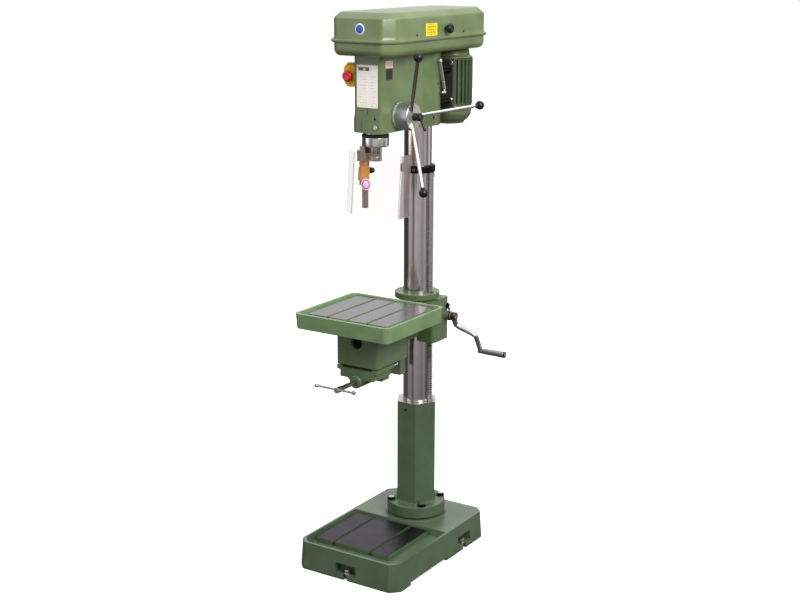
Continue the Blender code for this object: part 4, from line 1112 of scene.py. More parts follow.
def make_side_labels(half_w, front):
    left = front + 0.023
    right = left + 0.040
    pale = sticker(
        "pale_label", (0.66, 0.42, 0.36), (0.75, 0.66, 0.60), (0.040, 0.022),
        ((Y, left + 0.020), (Z, 1.656)),
    )
    dark = sticker(
        "dark_label", (0.030, 0.026, 0.028), (0.10, 0.09, 0.09), (0.038, 0.036),
        ((Y, left + 0.020), (Z, 1.626)),
    )
    flat_label(
        "side_label_upper", rectangle(left, right, 1.645, 1.667, 0.001), half_w, pale, "stand",
    )
    flat_label(
        "side_label_lower", rectangle(left + 0.001, right - 0.001, 1.608, 1.6443, 0.001), half_w, dark,
        "stand",
    )


def make_quill():
    at = (0, SPINDLE_Y, 0)
    quill_r = high("quill", X)
    spindle_r = 0.020
    quill_low, quill_high = low("quill", Z), high("quill", Z)
    show(
        smooth(
            make(
                "quill_sleeve", ring("quill", spindle_r + GAP, quill_r, quill_low, quill_high),
                GROUND_STEEL, at,
            ),
        ),
        "quill",
    )
    collar_low, collar_high = low("quill_collar", Z), high("quill_collar", Z)
    collar_r = high("quill_collar", X)
    collar = turned("collar", soft_profile([
        (quill_r + GAP, collar_low), (collar_r - 0.0028, collar_low), (collar_r, collar_low + 0.0028),
        (collar_r, collar_high - 0.0012), (collar_r - 0.0012, collar_high), (quill_r + GAP, collar_high),
    ], 0.0006))
    show(smooth(make("nose_collar", collar, CHROME, at)), "quill_collar")
    buffer_low, buffer_high = low("quill_buffer", Z), high("quill_buffer", Z)
    buffer = turned("buffer", soft_profile([
        (quill_r + GAP, buffer_low), (collar_r, buffer_low), (collar_r, buffer_low + 0.005),
        (collar_r - 0.003, buffer_high), (quill_r + GAP, buffer_high),
    ], 0.0015))
    show(smooth(make("buffer_ring", buffer, RUBBER, at)), "quill_buffer")
    nose_low, spline_high = low("spindle", Z), high("spindle", Z)
    spline_r = 0.013
    spindle = make("spindle_bar", turned("spindle", soft_profile([
        (0, nose_low + 0.075), (0.0098, nose_low + 0.075), (0.0120, nose_low + 0.002), (0.0135, nose_low),
        (spindle_r - 0.0018, nose_low),
        (spindle_r, nose_low + 0.0018), (spindle_r, nose_low + 0.013),
        (spindle_r - 0.0008, nose_low + 0.0138), (spindle_r - 0.0008, nose_low + 0.0152),
        (spindle_r, nose_low + 0.016),
        (spindle_r, quill_high - 0.002), (spline_r, quill_high), (spline_r, spline_high), (0, spline_high),
    ], 0.0004, 2)), GROUND_STEEL, at)
    boolean(spindle, boxes("drift_slot", ((-0.003, -0.03, 1.410), (0.003, 0.03, 1.436))), at=at)
    for number in range(6):
        groove = boxes(
            "spline_groove",
            ((spline_r - 0.0016, -0.0021, quill_high + 0.004), (spline_r + 0.01, 0.0021, spline_high + 0.01)),
        )
        groove.transform(Matrix.Rotation(TAU * number / 6, 4, "Z"))
        boolean(spindle, groove, at=at)
    show(smooth(spindle), "spindle")


def make_feed():
    at = (0, FEED.y, FEED.z)
    drum_r = half("feed_hub", Y)
    dial_low, dial_high = low("feed_dial", X), high("feed_dial", X)
    drum_low, hub_high = low("feed_hub", X), high("feed_hub", X)
    shaft_r = 0.0153
    dial = turned("dial", soft_profile([
        (shaft_r, dial_low), (drum_r - 0.0005, dial_low), (drum_r + 0.0004, dial_low + 0.001),
        (drum_r + 0.0004, dial_high - 0.001),
        (drum_r - 0.0012, dial_high), (shaft_r, dial_high),
    ], 0.0003), FINE)
    show(smooth(make("dial", dial, DIAL, at, ALONG_X)), "feed_dial")
    hub = make("hub", turned("hub", soft_profile([
        (shaft_r, drum_low), (drum_r - 0.0012, drum_low), (drum_r, drum_low + 0.0012),
        (drum_r, hub_high - 0.0024),
        (drum_r - 0.0018, hub_high), (0, hub_high), (0, hub_high - 0.0047), (shaft_r, hub_high - 0.0047),
    ], 0.0010)), [TURNED_ALLOY, FACED_ALLOY], at, ALONG_X)
    start_x = 0.094
    tilt = math.radians(25.2)
    phase = math.radians(124.9)
    length = 0.263
    rod_r = 0.0055
    for number in range(3):
        angle = phase - number * TAU / 3
        ahead = Vector((math.sin(tilt), math.cos(tilt) * math.cos(angle), math.cos(tilt) * math.sin(angle)))
        turn = ahead.to_track_quat("Z", "Y")
        start = Vector((start_x, FEED.y, FEED.z))
        boolean(hub, rod("bore", rod_r + 0.0003, 0.0229, 0.06, SMALL, 0), at=start, turn=turn)
        # The first handle takes the dull copy of the metal: painted shade.
        finish = HANDLE_SHADED if number == 0 else HANDLE_BRIGHT
        lever = turned("lever", soft_profile([
            (0, 0.0232), (rod_r, 0.0232), (rod_r, 0.090), (rod_r + 0.0009, 0.150), (rod_r, length - 0.030),
            (rod_r - 0.0010, length - 0.018), (rod_r - 0.0010, length - 0.003), (0, length - 0.003),
        ], 0.02, 4), SMALL)
        show(
            smooth(make(f"feed_lever_{number + 1}", lever, finish, start, turn)),
            f"feed_handle_{number + 1}",
        )
        show(
            smooth(
                make(
                    f"ball_{number + 1}", ball_mesh(length, half(f"handle_ball_{number + 1}", Y)), BLACK,
                    start, turn,
                ),
            ),
            f"handle_ball_{number + 1}",
        )
    tidy(hub)
    for face in hub.data.polygons:
        if face.normal.x > 0.9 and face.center.x > hub_high - 0.001:
            face.material_index = 1
    show(soften(hub, 0.0006, 2, 40), "feed_hub")
    make_hub_lever(at)


def ball_mesh(distance, radius):
    """A moulded ball with a short neck on the inner side."""
    steps = 20
    neck_r = 0.0078
    neck_angle = math.asin(neck_r / radius)
    profile = [
        (0, distance - radius - 0.0020), (neck_r - 0.0008, distance - radius - 0.0020),
        (neck_r, distance - radius - 0.0012),
    ]
    for step in range(steps + 1):
        angle = neck_angle + (math.pi - neck_angle) * step / steps
        profile.append((radius * math.sin(angle), distance - radius * math.cos(angle)))
    profile[-1] = (0, distance + radius)
    return turned("ball", profile, MEDIUM)


def make_hub_lever(at):
    """The small black clamp lever in the middle of the hub."""
    cap_low, cap_high = low("hub_lock_lever", X), 0.134
    lever = make("hub_lever_cap", turned("cap", soft_profile([
        (0, cap_low), (0.0125, cap_low), (0.0125, cap_high - 0.003), (0.0100, cap_high + 0.001),
        (0, cap_high + 0.001),
    ], 0.0012), MEDIUM), BLACK, at, ALONG_X)
    start = Vector((0.130, FEED.y, FEED.z))
    foot = start + Vector((0.014, 0.004, -0.038))
    arm = tube(
        "arm",
        smooth_path([start, start.lerp(foot, 0.35) + Vector((-0.001, 0, 0)), start.lerp(foot, 0.7), foot]),
        lambda share: 0.0036 + 0.0016 * max(share - 0.6, 0) / 0.4, 20,
    )
    boolean(lever, arm, "UNION")
    show(smooth(lever), "hub_lock_lever")


# ================================================================ drive
def dress_drive():
    for node in ("spindle_pulley", "motor_pulley"):
        dress(node, PULLEY_ALLOY)
    dress("v_belt", RUBBER, 0.0008)
    dress("motor_shaft", GROUND_STEEL)
    dress("feed_shaft", GROUND_STEEL)
    dress("rack", RACK_STEEL)
    dress("worm_shaft", GROUND_STEEL)
    dress("worm_wheel", GROUND_STEEL)


def make_motor():
    at = (0, MOTOR_Y, 0)
    bottom, top = low("motor_housing", Z), high("motor_housing", Z)
    outer = half("motor_housing", X)
    inner = outer - 0.0085
    count = 28
    outline = []
    for fin in range(count):
        for share, radius in (
            (0.04, outer - 0.0006), (0.09, outer), (0.30, outer), (0.35, outer - 0.0006),
            (0.43, inner + 0.001), (0.49, inner), (0.90, inner), (0.96, inner + 0.001),
        ):
            angle = TAU * (fin + share) / count
            outline.append((radius * math.cos(angle), radius * math.sin(angle)))
    # The housing takes the darker enamel: partly painted shade.
    housing = make("motor_fins", prism("fins", outline, bottom, top), MOTOR_SHADED_PAINT, at)
    for end in (bottom, top - 0.006):
        boolean(housing, ring("end_ring", 0.056, outer - 0.0030, end, end + 0.006, FINE), "UNION", at)
    pad_front = low("motor_housing", Y)
    boolean(
        housing, boxes("pad", ((-0.040, pad_front, bottom + 0.006), (0.040, MOTOR_Y - 0.060, top - 0.008))),
        "UNION",
    )
    boolean(housing, rod("stator_bore", 0.054, bottom - 0.01, top + 0.01, MEDIUM, 0), at=at)
    tidy(housing)
    show(soften(housing, 0.0006, 2, 40), "motor_housing")
    bell_low, bell_high = low("motor_end_bell", Z), high("motor_end_bell", Z)
    bell_r = half("motor_end_bell", X)
    bell = turned("bell", soft_profile([
        (0, bell_low), (bell_r - 0.026, bell_low), (bell_r - 0.024, bell_low + 0.006),
        (bell_r - 0.010, bell_low + 0.017), (bell_r - 0.001, bell_low + 0.033),
        (bell_r - 0.001, bell_low + 0.044), (bell_r + 0.0005, bell_low + 0.046),
        (bell_r + 0.0005, bell_high), (bell_r - 0.005, bell_high), (bell_r - 0.005, bell_low + 0.045),
        (0, bell_low + 0.010),
    ], 0.006, 5))
    show(smooth(make("motor_bell", bell, MOTOR_BELL_PAINT, at)), "motor_end_bell")
    shield_low, shield_high = low("motor_top_shield", Z), high("motor_top_shield", Z)
    shield = turned("shield", soft_profile([
        (0.010, shield_low), (0.0745, shield_low), (0.0745, shield_low + 0.004),
        (0.067, shield_low + 0.008), (0.0625, shield_high), (0.010, shield_high),
    ], 0.003, 4))
    show(smooth(make("motor_cap", shield, MOTOR_TOP_PAINT, at)), "motor_top_shield")
    make_motor_plate()


def make_motor_plate():
    plate_y = low("motor_housing", Y) - 0.0103
    lo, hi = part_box("motor_plate")
    thick = 0.010
    outline = rounded([(lo[0], lo[2]), (hi[0], lo[2]), (hi[0], hi[2]), (lo[0], hi[2])], 0.006, 4)
    # The mount plate takes the near-black enamel: painted shade.
    plate = make("motor_mount", swept("plate", outline, plate_y, plate_y + thick), MOUNT_SHADE_PAINT)
    tidy(plate)
    extra(soften(plate, 0.0012), "motor")
    first_x, first_z = SLIDE_ROD_PLACES[0]
    slide_rod = rod("slide_rod", SLIDE_ROD_R, lo[1], plate_y + 0.002, MEDIUM)
    rods = make("slide_rods", slide_rod, BLACK_OXIDE, (first_x, 0, first_z), ALONG_REAR)
    for x, z in SLIDE_ROD_PLACES[1:]:
        slide_rod = rod("slide_rod", SLIDE_ROD_R, lo[1], plate_y + 0.002, MEDIUM)
        boolean(rods, slide_rod, "UNION", (x, 0, z), ALONG_REAR)
    show(smooth(rods), "motor_plate")
    for number, (x, z) in enumerate(SLIDE_ROD_PLACES):
        nut = hex_bolt(
            f"plate_nut_{number + 1}", 0.0085, 0.0, 0.0062, (0, 0, 0), BARE_IRON, 0.0100, turn=20 * number,
        )
        nut.data.transform(Matrix.Translation((x, plate_y + thick, z)) @ matrix_of(ALONG_REAR))
        extra(nut, "motor")
    for number, z in enumerate((1.519, 1.638)):
        bolt = hex_bolt(f"plate_bolt_{number + 1}", 0.0062, 0.0, 0.0045, (0, 0, 0), CHROME, 0.0078)
        bolt.data.transform(Matrix.Translation((0.0625, plate_y, z)) @ matrix_of(ALONG_FRONT))
        extra(bolt, "motor")


def make_belt_lever():
    """A short pivot with a straight round bar that ends in a small hook."""
    x = 0.0815
    pivot_profile = soft_profile([
        (0, 0.0545), (0.006, 0.0545), (0.006, 0.077), (0.0072, 0.0775), (0.0072, 0.0855),
        (0.006, 0.0865), (0, 0.0865),
    ], 0.0006)
    pivot = make(
        "lever_pivot", turned("pivot", pivot_profile, SMALL), HANDLE_BRIGHT, (0, 0, LEVER_Z), ALONG_X,
    )
    top = Vector((x, -0.001, LEVER_Z + 0.002))
    foot = Vector((x, 0.031, LEVER_Z - 0.100))
    hook = [foot + Vector((0, -0.0030, -0.0042)), foot + Vector((0, -0.014, -0.0030))]
    path = smooth_path([top, top.lerp(foot, 0.3), top.lerp(foot, 0.6), foot] + hook, 10)
    boolean(pivot, tube("arm", path, lambda share: 0.0048, 20), "UNION")
    show(smooth(pivot, 50), "belt_lever")


# ================================================================ belt cover
def cover_outline(grow, corner=0.010):
    half_w = COVER["half_w"]
    shape = chamfered_rectangle(half_w, COVER["front"], COVER["rear"], 0.0304, 0.0435, grow)
    return rounded(shape, corner, 4)


def make_cover():
    lip = COVER["lip"]
    split = COVER["split"]
    bottom = low("cover_tray", Z)
    sheet = 0.003
    tray_rows = [
        (-0.020, bottom + sheet), (-0.015, bottom + sheet), (-0.0085, 1.6905), (-0.0042, 1.697),
        (-sheet, 1.7035), (-sheet, split - GAP),
        (lip - 0.0028, split - GAP), (lip - 0.0028, split - 0.0028), (lip - 0.0036, split - 0.0038),
        (0.0015, split - 0.0040), (0.0, split - 0.0055),
        (0.0, 1.7020), (-0.0012, 1.6965), (-0.0055, 1.6890), (-0.0115, 1.6845), (-0.0150, bottom),
        (-0.020, bottom),
    ]
    tray = make(
        "tray", loft("tray", [at_height(cover_outline(grow), z) for grow, z in tray_rows]), COVER_PAINT,
    )
    boolean(tray, rod("spindle_hole", 0.030, bottom - 0.01, bottom + 0.02, MEDIUM, 0), at=(0, SPINDLE_Y, 0))
    shaft_slot = rounded_rectangle(-0.014, 0.014, MOTOR_Y - 0.030, MOTOR_Y + 0.016, 0.0138, 8)
    boolean(tray, prism("shaft_slot", shaft_slot, bottom - 0.01, bottom + 0.02))
    tidy(tray)
    show(smooth(tray, 30), "cover_tray")
    top = high("cover_lid", Z)
    wall_top = top - 0.0175
    bevel = 0.022
    lid_rows = [
        (-bevel - 0.004, top - sheet), (-bevel - 0.001, top - sheet), (-sheet - 0.0005, wall_top - 0.001),
        (-sheet, wall_top - 0.004), (-sheet, split + 0.004), (-sheet, split),
        (lip, split), (lip, split + 0.0040), (lip - 0.0012, split + 0.0054), (0.0035, split + 0.0060),
        (0.0014, split + 0.0074), (0.0003, split + 0.0110),
        (0.0, split + 0.018), (0.0, wall_top - 0.0035), (-0.0004, wall_top - 0.0015), (-0.0016, wall_top),
        (-0.0040, wall_top + 0.0020),
        (-bevel + 0.0030, top - 0.0022), (-bevel, top - 0.0006), (-bevel - 0.004, top),
    ]
    lid = make("lid", loft("lid", [at_height(cover_outline(grow), z) for grow, z in lid_rows]), COVER_PAINT)
    show(smooth(lid, 30), "cover_lid")
    make_lid_trim()
    make_hinges(split)


def make_lid_trim():
    half_w = COVER["half_w"]
    knob = turned("knob", soft_profile([
        (0, 0.1163), (0.0062, 0.1163), (0.0062, 0.1250), (0.0125, 0.1262), (0.0155, 0.1300), (0.0158, 0.1360),
        (0.0130, 0.1408), (0.0070, 0.1420), (0, 0.1420),
    ], 0.0022, 4), MEDIUM)
    at = middle("lid_knob")
    show(smooth(make("cover_knob", knob, BLACK, (0, at.y, at.z), ALONG_X)), "lid_knob")
    yellow = sticker(
        "yellow_label", (0.80, 0.60, 0.010), (0.84, 0.70, 0.05), (0.066, 0.038),
        ((Y, at.y - 0.084), (Z, at.z)), rules=0.0042,
    )
    flat_label(
        "cover_label", rectangle(at.y - 0.117, at.y - 0.051, at.z - 0.019, at.z + 0.019, 0.0015), half_w,
        yellow, "lid",
    )
    blue = sticker(
        "blue_label", (0.05, 0.12, 0.42), (0.72, 0.76, 0.80), (COVER_DISC_R, COVER_DISC_R),
        ((X, COVER_DISC_X), (Z, COVER_DISC_Z)), ring=(0.76, 1.1),
    )
    disc_profile = [
        (0, 0), (COVER_DISC_R, 0), (COVER_DISC_R, 0.0004), (COVER_DISC_R - 0.0004, 0.0007), (0, 0.0007),
    ]
    disc = make(
        "cover_disc", turned("disc", disc_profile, MEDIUM), blue,
        (COVER_DISC_X, COVER["front"], COVER_DISC_Z), ALONG_FRONT,
    )
    extra(smooth(disc), "lid")
    for number, y in enumerate((-0.195, 0.086)):
        screw = turned("screw", [(0, 0), (0.0034, 0), (0.0034, 0.0010), (0.0026, 0.0018), (0, 0.0020)], SMALL)
        piece = make(f"cover_screw_{number + 1}", screw, BLACK_OXIDE, (half_w, y, COVER_SCREW_Z), ALONG_X)
        boolean(
            piece, boxes("slot", ((-0.0004, -0.005, 0.0012), (0.0004, 0.005, 0.003))),
            at=(half_w, y, COVER_SCREW_Z), turn=ALONG_X,
        )
        extra(smooth(piece), "lid")


def make_hinges(split):
    """Each hinge has a pin with five knuckles along it and one leaf."""
    for name in ("lid_hinge_front", "lid_hinge_rear"):
        lo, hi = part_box(name)
        x = -0.1295
        length = hi[1] - lo[1]
        knuckle = length / 5
        piece = make(
            name.replace("lid_hinge", "hinge"), rod("pin", 0.0024, lo[1] - 0.0002, hi[1] + 0.0002, SMALL),
            BARE_IRON, (x, 0, split), ALONG_REAR,
        )
        for index in range(5):
            start = lo[1] + index * knuckle
            barrel = rod("knuckle", 0.0038, start + 0.0002, start + knuckle - 0.0002, SMALL, 0.0004)
            boolean(piece, barrel, "UNION", (x, 0, split), ALONG_REAR)
        leaf = boxes(
            "leaf",
            ((x + 0.0013, lo[1] + 0.0005, split - 0.020), (x + 0.0032, hi[1] - 0.0005, split - 0.001)),
        )
        boolean(piece, leaf, "UNION")
        show(smooth(piece), name)


# ================================================================ table
def make_table():
    half_w = high("table_top", X)
    front, rear = low("table_top", Y), high("table_top", Y)
    bottom, top = low("table_top", Z), high("table_top", Z)
    surface = top - 0.0043
    floor = top - 0.0138
    radius, rim, pitch = 0.022, 0.010, 0.0745
    lower = rounded_rectangle(-half_w + 0.004, half_w - 0.004, front + 0.004, rear - 0.004, radius - 0.003, 8)
    upper = rounded_rectangle(-half_w, half_w, front, rear, radius, 8)
    table = make(
        "table", loft("table", [at_height(lower, bottom), at_height(upper, top)]), [TABLE_PAINT, TABLE_IRON],
    )
    inner = rounded_rectangle(
        -half_w + rim + 0.003, half_w - rim - 0.003, front + rim + 0.003, rear - rim - 0.003, radius - rim,
        8,
    )
    inner_top = rounded_rectangle(
        -half_w + rim, half_w - rim, front + rim, rear - rim, radius - rim + 0.002, 8,
    )
    boolean(table, loft("tray", [at_height(inner, floor), at_height(inner_top, top + 0.0012)]))
    edges = [0.002 + pitch * number for number in range(-2, 3)]
    for strip in t_slot_strips(edges, floor, surface, front + 0.038, rear - 0.014, 0.010):
        boolean(table, strip, "UNION")
    cells = []
    for low_x, high_x in ((-0.165, -0.085), (0.085, 0.165)):
        for low_y, high_y in ((-0.440, -0.290), (-0.280, -0.130)):
            cells.append(((low_x, low_y, 0.82), (high_x, high_y, 0.854)))
    boolean(table, boxes("cells", *cells))
    tidy(table)
    by_height(table, surface)
    soften(table, 0.0016, 3, 40)
    show(table, "table_top")


def make_bracket():
    top = high("table_bracket", Z)
    ring_r = 0.075
    bore_r = COLUMN_R + GAP
    sleeve = soft_profile([
        (0, 0.742), (0.0580, 0.742), (0.0600, 0.744), (0.0600, 0.858), (0.0640, 0.8635),
        (ring_r - 0.001, 0.866),
        (ring_r, 0.868), (ring_r, top), (0, top),
    ], 0.002, 3)
    body = make("bracket", turned("sleeve", sleeve), BRACKET_SHADED_PAINT)
    arm_half, arm_front, arm_rear = 0.077, low("table_bracket", Y), -0.170
    arm_low, arm_top = 0.710, low("table_top", Z) - GAP
    arm = rounded(
        [(-arm_half, arm_front), (arm_half, arm_front), (arm_half, arm_rear), (-arm_half, arm_rear)],
        [0.006, 0.006, 0.020, 0.020], 5,
    )
    boolean(body, prism("arm", arm, arm_low, arm_top), "UNION")
    neck_low = [(-0.040, arm_rear - 0.01), (0.040, arm_rear - 0.01), (0.040, -0.030), (-0.040, -0.030)]
    neck_top = [(-0.052, arm_rear - 0.01), (0.052, arm_rear - 0.01), (0.046, -0.030), (-0.046, -0.030)]
    boolean(body, loft("neck", [at_height(neck_low, 0.745), at_height(neck_top, arm_top - 0.001)]), "UNION")
    housing = rounded_rectangle(0.030, 0.100, -0.055, 0.041, 0.012, 6)
    boolean(body, prism("gear_housing", housing, 0.728, 0.864), "UNION")
    lug = rounded_rectangle(0.058, 0.1000, -0.020, 0.0405, 0.010, 6)
    boolean(body, prism("housing_lug", lug, 0.860, 0.8725), "UNION")
    boolean(body, boxes("jaw", ((-0.034, -0.127, 0.623), (0.0145, -0.096, 0.750))), "UNION")
    worm = middle("worm_shaft")
    boss = turned(
        "worm_boss",
        soft_profile(
            [(0, 0.09), (0.0175, 0.09), (0.0175, 0.1010), (0.0160, 0.1050), (0.0160, 0.1180), (0, 0.1180)],
            0.0015,
        ),
        MEDIUM,
    )
    boolean(body, boss, "UNION", (0, worm.y, worm.z), ALONG_X)
    boolean(body, rod("column_bore", bore_r, 0.55, 0.95, FINE, 0))
    wheel_z = middle("worm_wheel").z
    wheel_x = middle("worm_wheel").x
    boolean(body, boxes("rack_slot", ((0.040, -0.0078, 0.70), (high("rack", X) + 0.0007, 0.0078, 0.90))))
    boolean(
        body, boxes("pinion_room", ((0.060, -0.0085, wheel_z - 0.0115), (0.0825, 0.0112, wheel_z + 0.0115))),
    )
    boolean(
        body,
        boxes(
            "wheel_room",
            ((wheel_x - 0.0170, 0.0109, wheel_z - 0.0175), (wheel_x + 0.0170, 0.0305, wheel_z + 0.0170)),
        ),
    )
    boolean(body, boxes("arm_hollow", ((-0.064, -0.346, 0.69), (0.064, -0.184, 0.815))))
    boolean(body, rod("front_hole", 0.021, 0.33, 0.38, MEDIUM, 0), at=(0, 0, 0.788), turn=ALONG_FRONT)
    boolean(body, rod("screw_bore", 0.0083, 0.08, 0.15, SMALL, 0), at=(0, 0, 0.660), turn=ALONG_FRONT)
    boolean(body, rod("worm_bore", 0.0100, 0.050, 0.13, SMALL, 0), at=(0, worm.y, worm.z), turn=ALONG_X)
    tidy(body)
    soften(body, 0.0020, 3, 40)
    show(body, "table_bracket")
    bolt = hex_bolt("housing_bolt", 0.0085, 0.0, 0.0065, (0, 0, 0), BLACK_OXIDE, 0.0100)
    bolt.data.transform(Matrix.Translation((0.1000, 0.030, 0.841)) @ matrix_of(ALONG_X))
    extra(bolt, "table")
    nipple = turned(
        "nipple",
        soft_profile(
            [
                (0, 0), (0.0045, 0), (0.0045, 0.003), (0.0025, 0.004), (0.0030, 0.0075), (0.0018, 0.009),
                (0, 0.0092),
            ],
            0.0006,
        ),
        SMALL,
    )
    extra(smooth(make("grease_nipple", nipple, BARE_IRON, (0.090, 0.007, 0.8724))), "table")


def make_table_lock():
    rib = boxes("rib", ((-0.010, -0.250, 0.6700), (0.012, -0.128, 0.7102)))
    extra(soften(make("clamp_rib", rib, BLACK_OXIDE), 0.0015, 2), "table")
    screw_z = 0.660
    arm_front, block_rear = low("table_bracket", Y), -0.259
    face = [
        (-0.0640, 0.668), (-0.036, 0.668), (-0.020, 0.654), (0.020, 0.654), (0.036, 0.668), (0.0640, 0.668),
        (0.0640, 0.690), (0.0765, 0.6925), (0.0765, 0.7062), (0.0600, 0.7062), (0.0560, 0.7000),
        (-0.0560, 0.7000), (-0.0600, 0.7062), (-0.0765, 0.7062), (-0.0765, 0.6925), (-0.0640, 0.690),
    ]
    block = make("clamp_block", swept("clamp_block", face, arm_front, block_rear), BRACKET_SHADED_PAINT)
    boolean(block, boxes("pad", ((-0.072, -0.338, 0.690), (0.072, -0.264, 0.7097))), "UNION")
    lug = rounded([(0.030, 0.652), (0.057, 0.652), (0.057, 0.704), (0.030, 0.704)], 0.003, 3)
    boolean(block, swept("lug", lug, -0.300, block_rear + 0.0005), "UNION")
    boss = soft_profile([(0, 0.256), (0.022, 0.256), (0.022, 0.368), (0.019, 0.371), (0, 0.371)], 0.002)
    boolean(block, turned("boss", boss, MEDIUM), "UNION", (0, 0, screw_z), ALONG_FRONT)
    boolean(block, rod("bore", 0.0083, 0.24, 0.39, SMALL, 0), at=(0, 0, screw_z), turn=ALONG_FRONT)
    tidy(block)
    show(soften(block, 0.0016, 3, 36), "lock_block")
    screw_front = -low("lock_screw", Y)
    screw_rear = -high("lock_screw", Y)
    profile = [(0, screw_rear), (0.0075, screw_rear)]
    pitch = 0.0025
    thread_end = screw_rear + 0.110
    count = int((thread_end - screw_rear) / pitch)
    for turn_index in range(count):
        base = screw_rear + 0.001 + turn_index * pitch
        profile += [(0.0070, base), (0.0080, base + 0.45 * pitch), (0.0080, base + 0.6 * pitch)]
    profile += [
        (0.0078, thread_end + 0.004), (0.0078, 0.446), (0.0090, 0.4500), (0.0100, 0.4530),
        (0.0100, screw_front - 0.0012), (0.0088, screw_front), (0, screw_front),
    ]
    screw = make(
        "clamp_spindle", turned("screw", profile, MEDIUM), GROUND_STEEL, (0, 0, screw_z), ALONG_FRONT,
    )
    tommy = middle("tommy_bar")
    boolean(screw, rod("cross_hole", 0.0038, -0.02, 0.02, SMALL, 0), at=(0, tommy.y, screw_z), turn=ALONG_X)
    show(smooth(screw), "lock_screw")
    left, right = low("tommy_bar", X), high("tommy_bar", X)
    bar = turned("bar", soft_profile([
        (0, left), (0.0046, left), (0.0060, left + 0.0018), (0.0060, left + 0.010), (0.0035, left + 0.012),
        (0.0035, right - 0.012),
        (0.0060, right - 0.010), (0.0060, right - 0.0018), (0.0046, right), (0, right),
    ], 0.0009, 4), SMALL)
    show(smooth(make("clamp_tommy", bar, DULL_ALLOY, (0, tommy.y, screw_z), ALONG_X)), "tommy_bar")


CRANK_ANGLE = math.radians(30)
CRANK_RADIUS = 0.147
CRANK_OFFSET = 0.066


def crank_point(radius):
    """A point of the S-shaped arm, from the hub's middle."""
    start = 0.035
    end = 0.082
    share = min(max((radius - start) / (end - start), 0), 1)
    out = CRANK_OFFSET * share * share * (3 - 2 * share)
    return Vector((out, radius * math.sin(CRANK_ANGLE), -radius * math.cos(CRANK_ANGLE)))


def make_crank():
    worm = middle("worm_shaft")
    hub_x = low("crank_arm", X)
    hub_long = 0.021
    at = (0, worm.y, worm.z)
    hub = turned("hub", soft_profile([
        (0.0078, hub_x), (0.0120, hub_x), (0.0138, hub_x + 0.0020), (0.0138, hub_x + hub_long - 0.0020),
        (0.0120, hub_x + hub_long), (0.0078, hub_x + hub_long),
    ], 0.0008), MEDIUM)
    arm = make("crank", hub, FORGED, at, ALONG_X)
    centre = Vector((hub_x + hub_long / 2, worm.y, worm.z))
    count = 44
    points = [
        centre + crank_point(0.0105 + (CRANK_RADIUS - 0.0105) * step / count) for step in range(count + 1)
    ]
    boolean(arm, tube("bar", points, lambda share: 0.0092 - 0.0008 * min(share * 2, 1), 24), "UNION")
    grip_at = centre + crank_point(CRANK_RADIUS)
    eye = turned(
        "eye",
        soft_profile(
            [
                (0, -0.0082), (0.0078, -0.0082), (0.0092, -0.0066), (0.0092, 0.0062), (0.0078, 0.0076),
                (0, 0.0076),
            ],
            0.0008,
        ),
        MEDIUM,
    )
    boolean(arm, eye, "UNION", grip_at, ALONG_X)
    boolean(arm, rod("pin", 0.0038, 0, 0.0958, SMALL), "UNION", grip_at, ALONG_X)
    show(smooth(arm, 45), "crank_arm")
    collar = turned(
        "collar",
        soft_profile([(0.0078, 0.1182), (0.0160, 0.1182), (0.0160, 0.1188), (0.0078, 0.1188)], 0.0001),
        MEDIUM,
    )
    extra(smooth(make("crank_washer", collar, RUSTY, at, ALONG_X)), "table")
    face = turned("hub_face", soft_profile([
        (0.0079, hub_x + 0.006), (0.0142, hub_x + 0.006), (0.0142, hub_x + hub_long),
        (0.0128, hub_x + hub_long + 0.0012),
        (0.0079, hub_x + hub_long + 0.0012),
    ], 0.0006), MEDIUM)
    extra(smooth(make("crank_hub_face", face, RUSTY, at, ALONG_X)), NODE_BODY["crank_arm"])
    pin = turned("pin", [
        (0, 0), (0.0024, 0), (0.0024, 0.0040), (0.0044, 0.0060), (0.0044, 0.0105), (0.0036, 0.0115),
        (0, 0.0115),
    ], SMALL)
    extra(
        smooth(make("worm_oiler", pin, BLACK_MATT, (0.1135, worm.y, worm.z + 0.0155))), "table",
    )
    grip = turned("grip", soft_profile([
        (0.0043, 0.0082), (0.0088, 0.0082), (0.0094, 0.0100), (0.0099, 0.020), (0.0100, 0.034),
        (0.0104, 0.060), (0.0109, 0.086), (0.0104, 0.0890), (0.0043, 0.0890),
    ], 0.003, 4), MEDIUM)
    show(smooth(make("grip", grip, DULL_ALLOY, grip_at, ALONG_X)), "crank_grip")
    cap = turned(
        "cap",
        soft_profile(
            [(0.0043, 0.0891), (0.0106, 0.0891), (0.0108, 0.0925), (0.0092, 0.0945), (0.0043, 0.0945)],
            0.0012, 4,
        ),
        MEDIUM,
    )
    extra(smooth(make("grip_cap", cap, BLACK_MATT, grip_at, ALONG_X)), "grip")


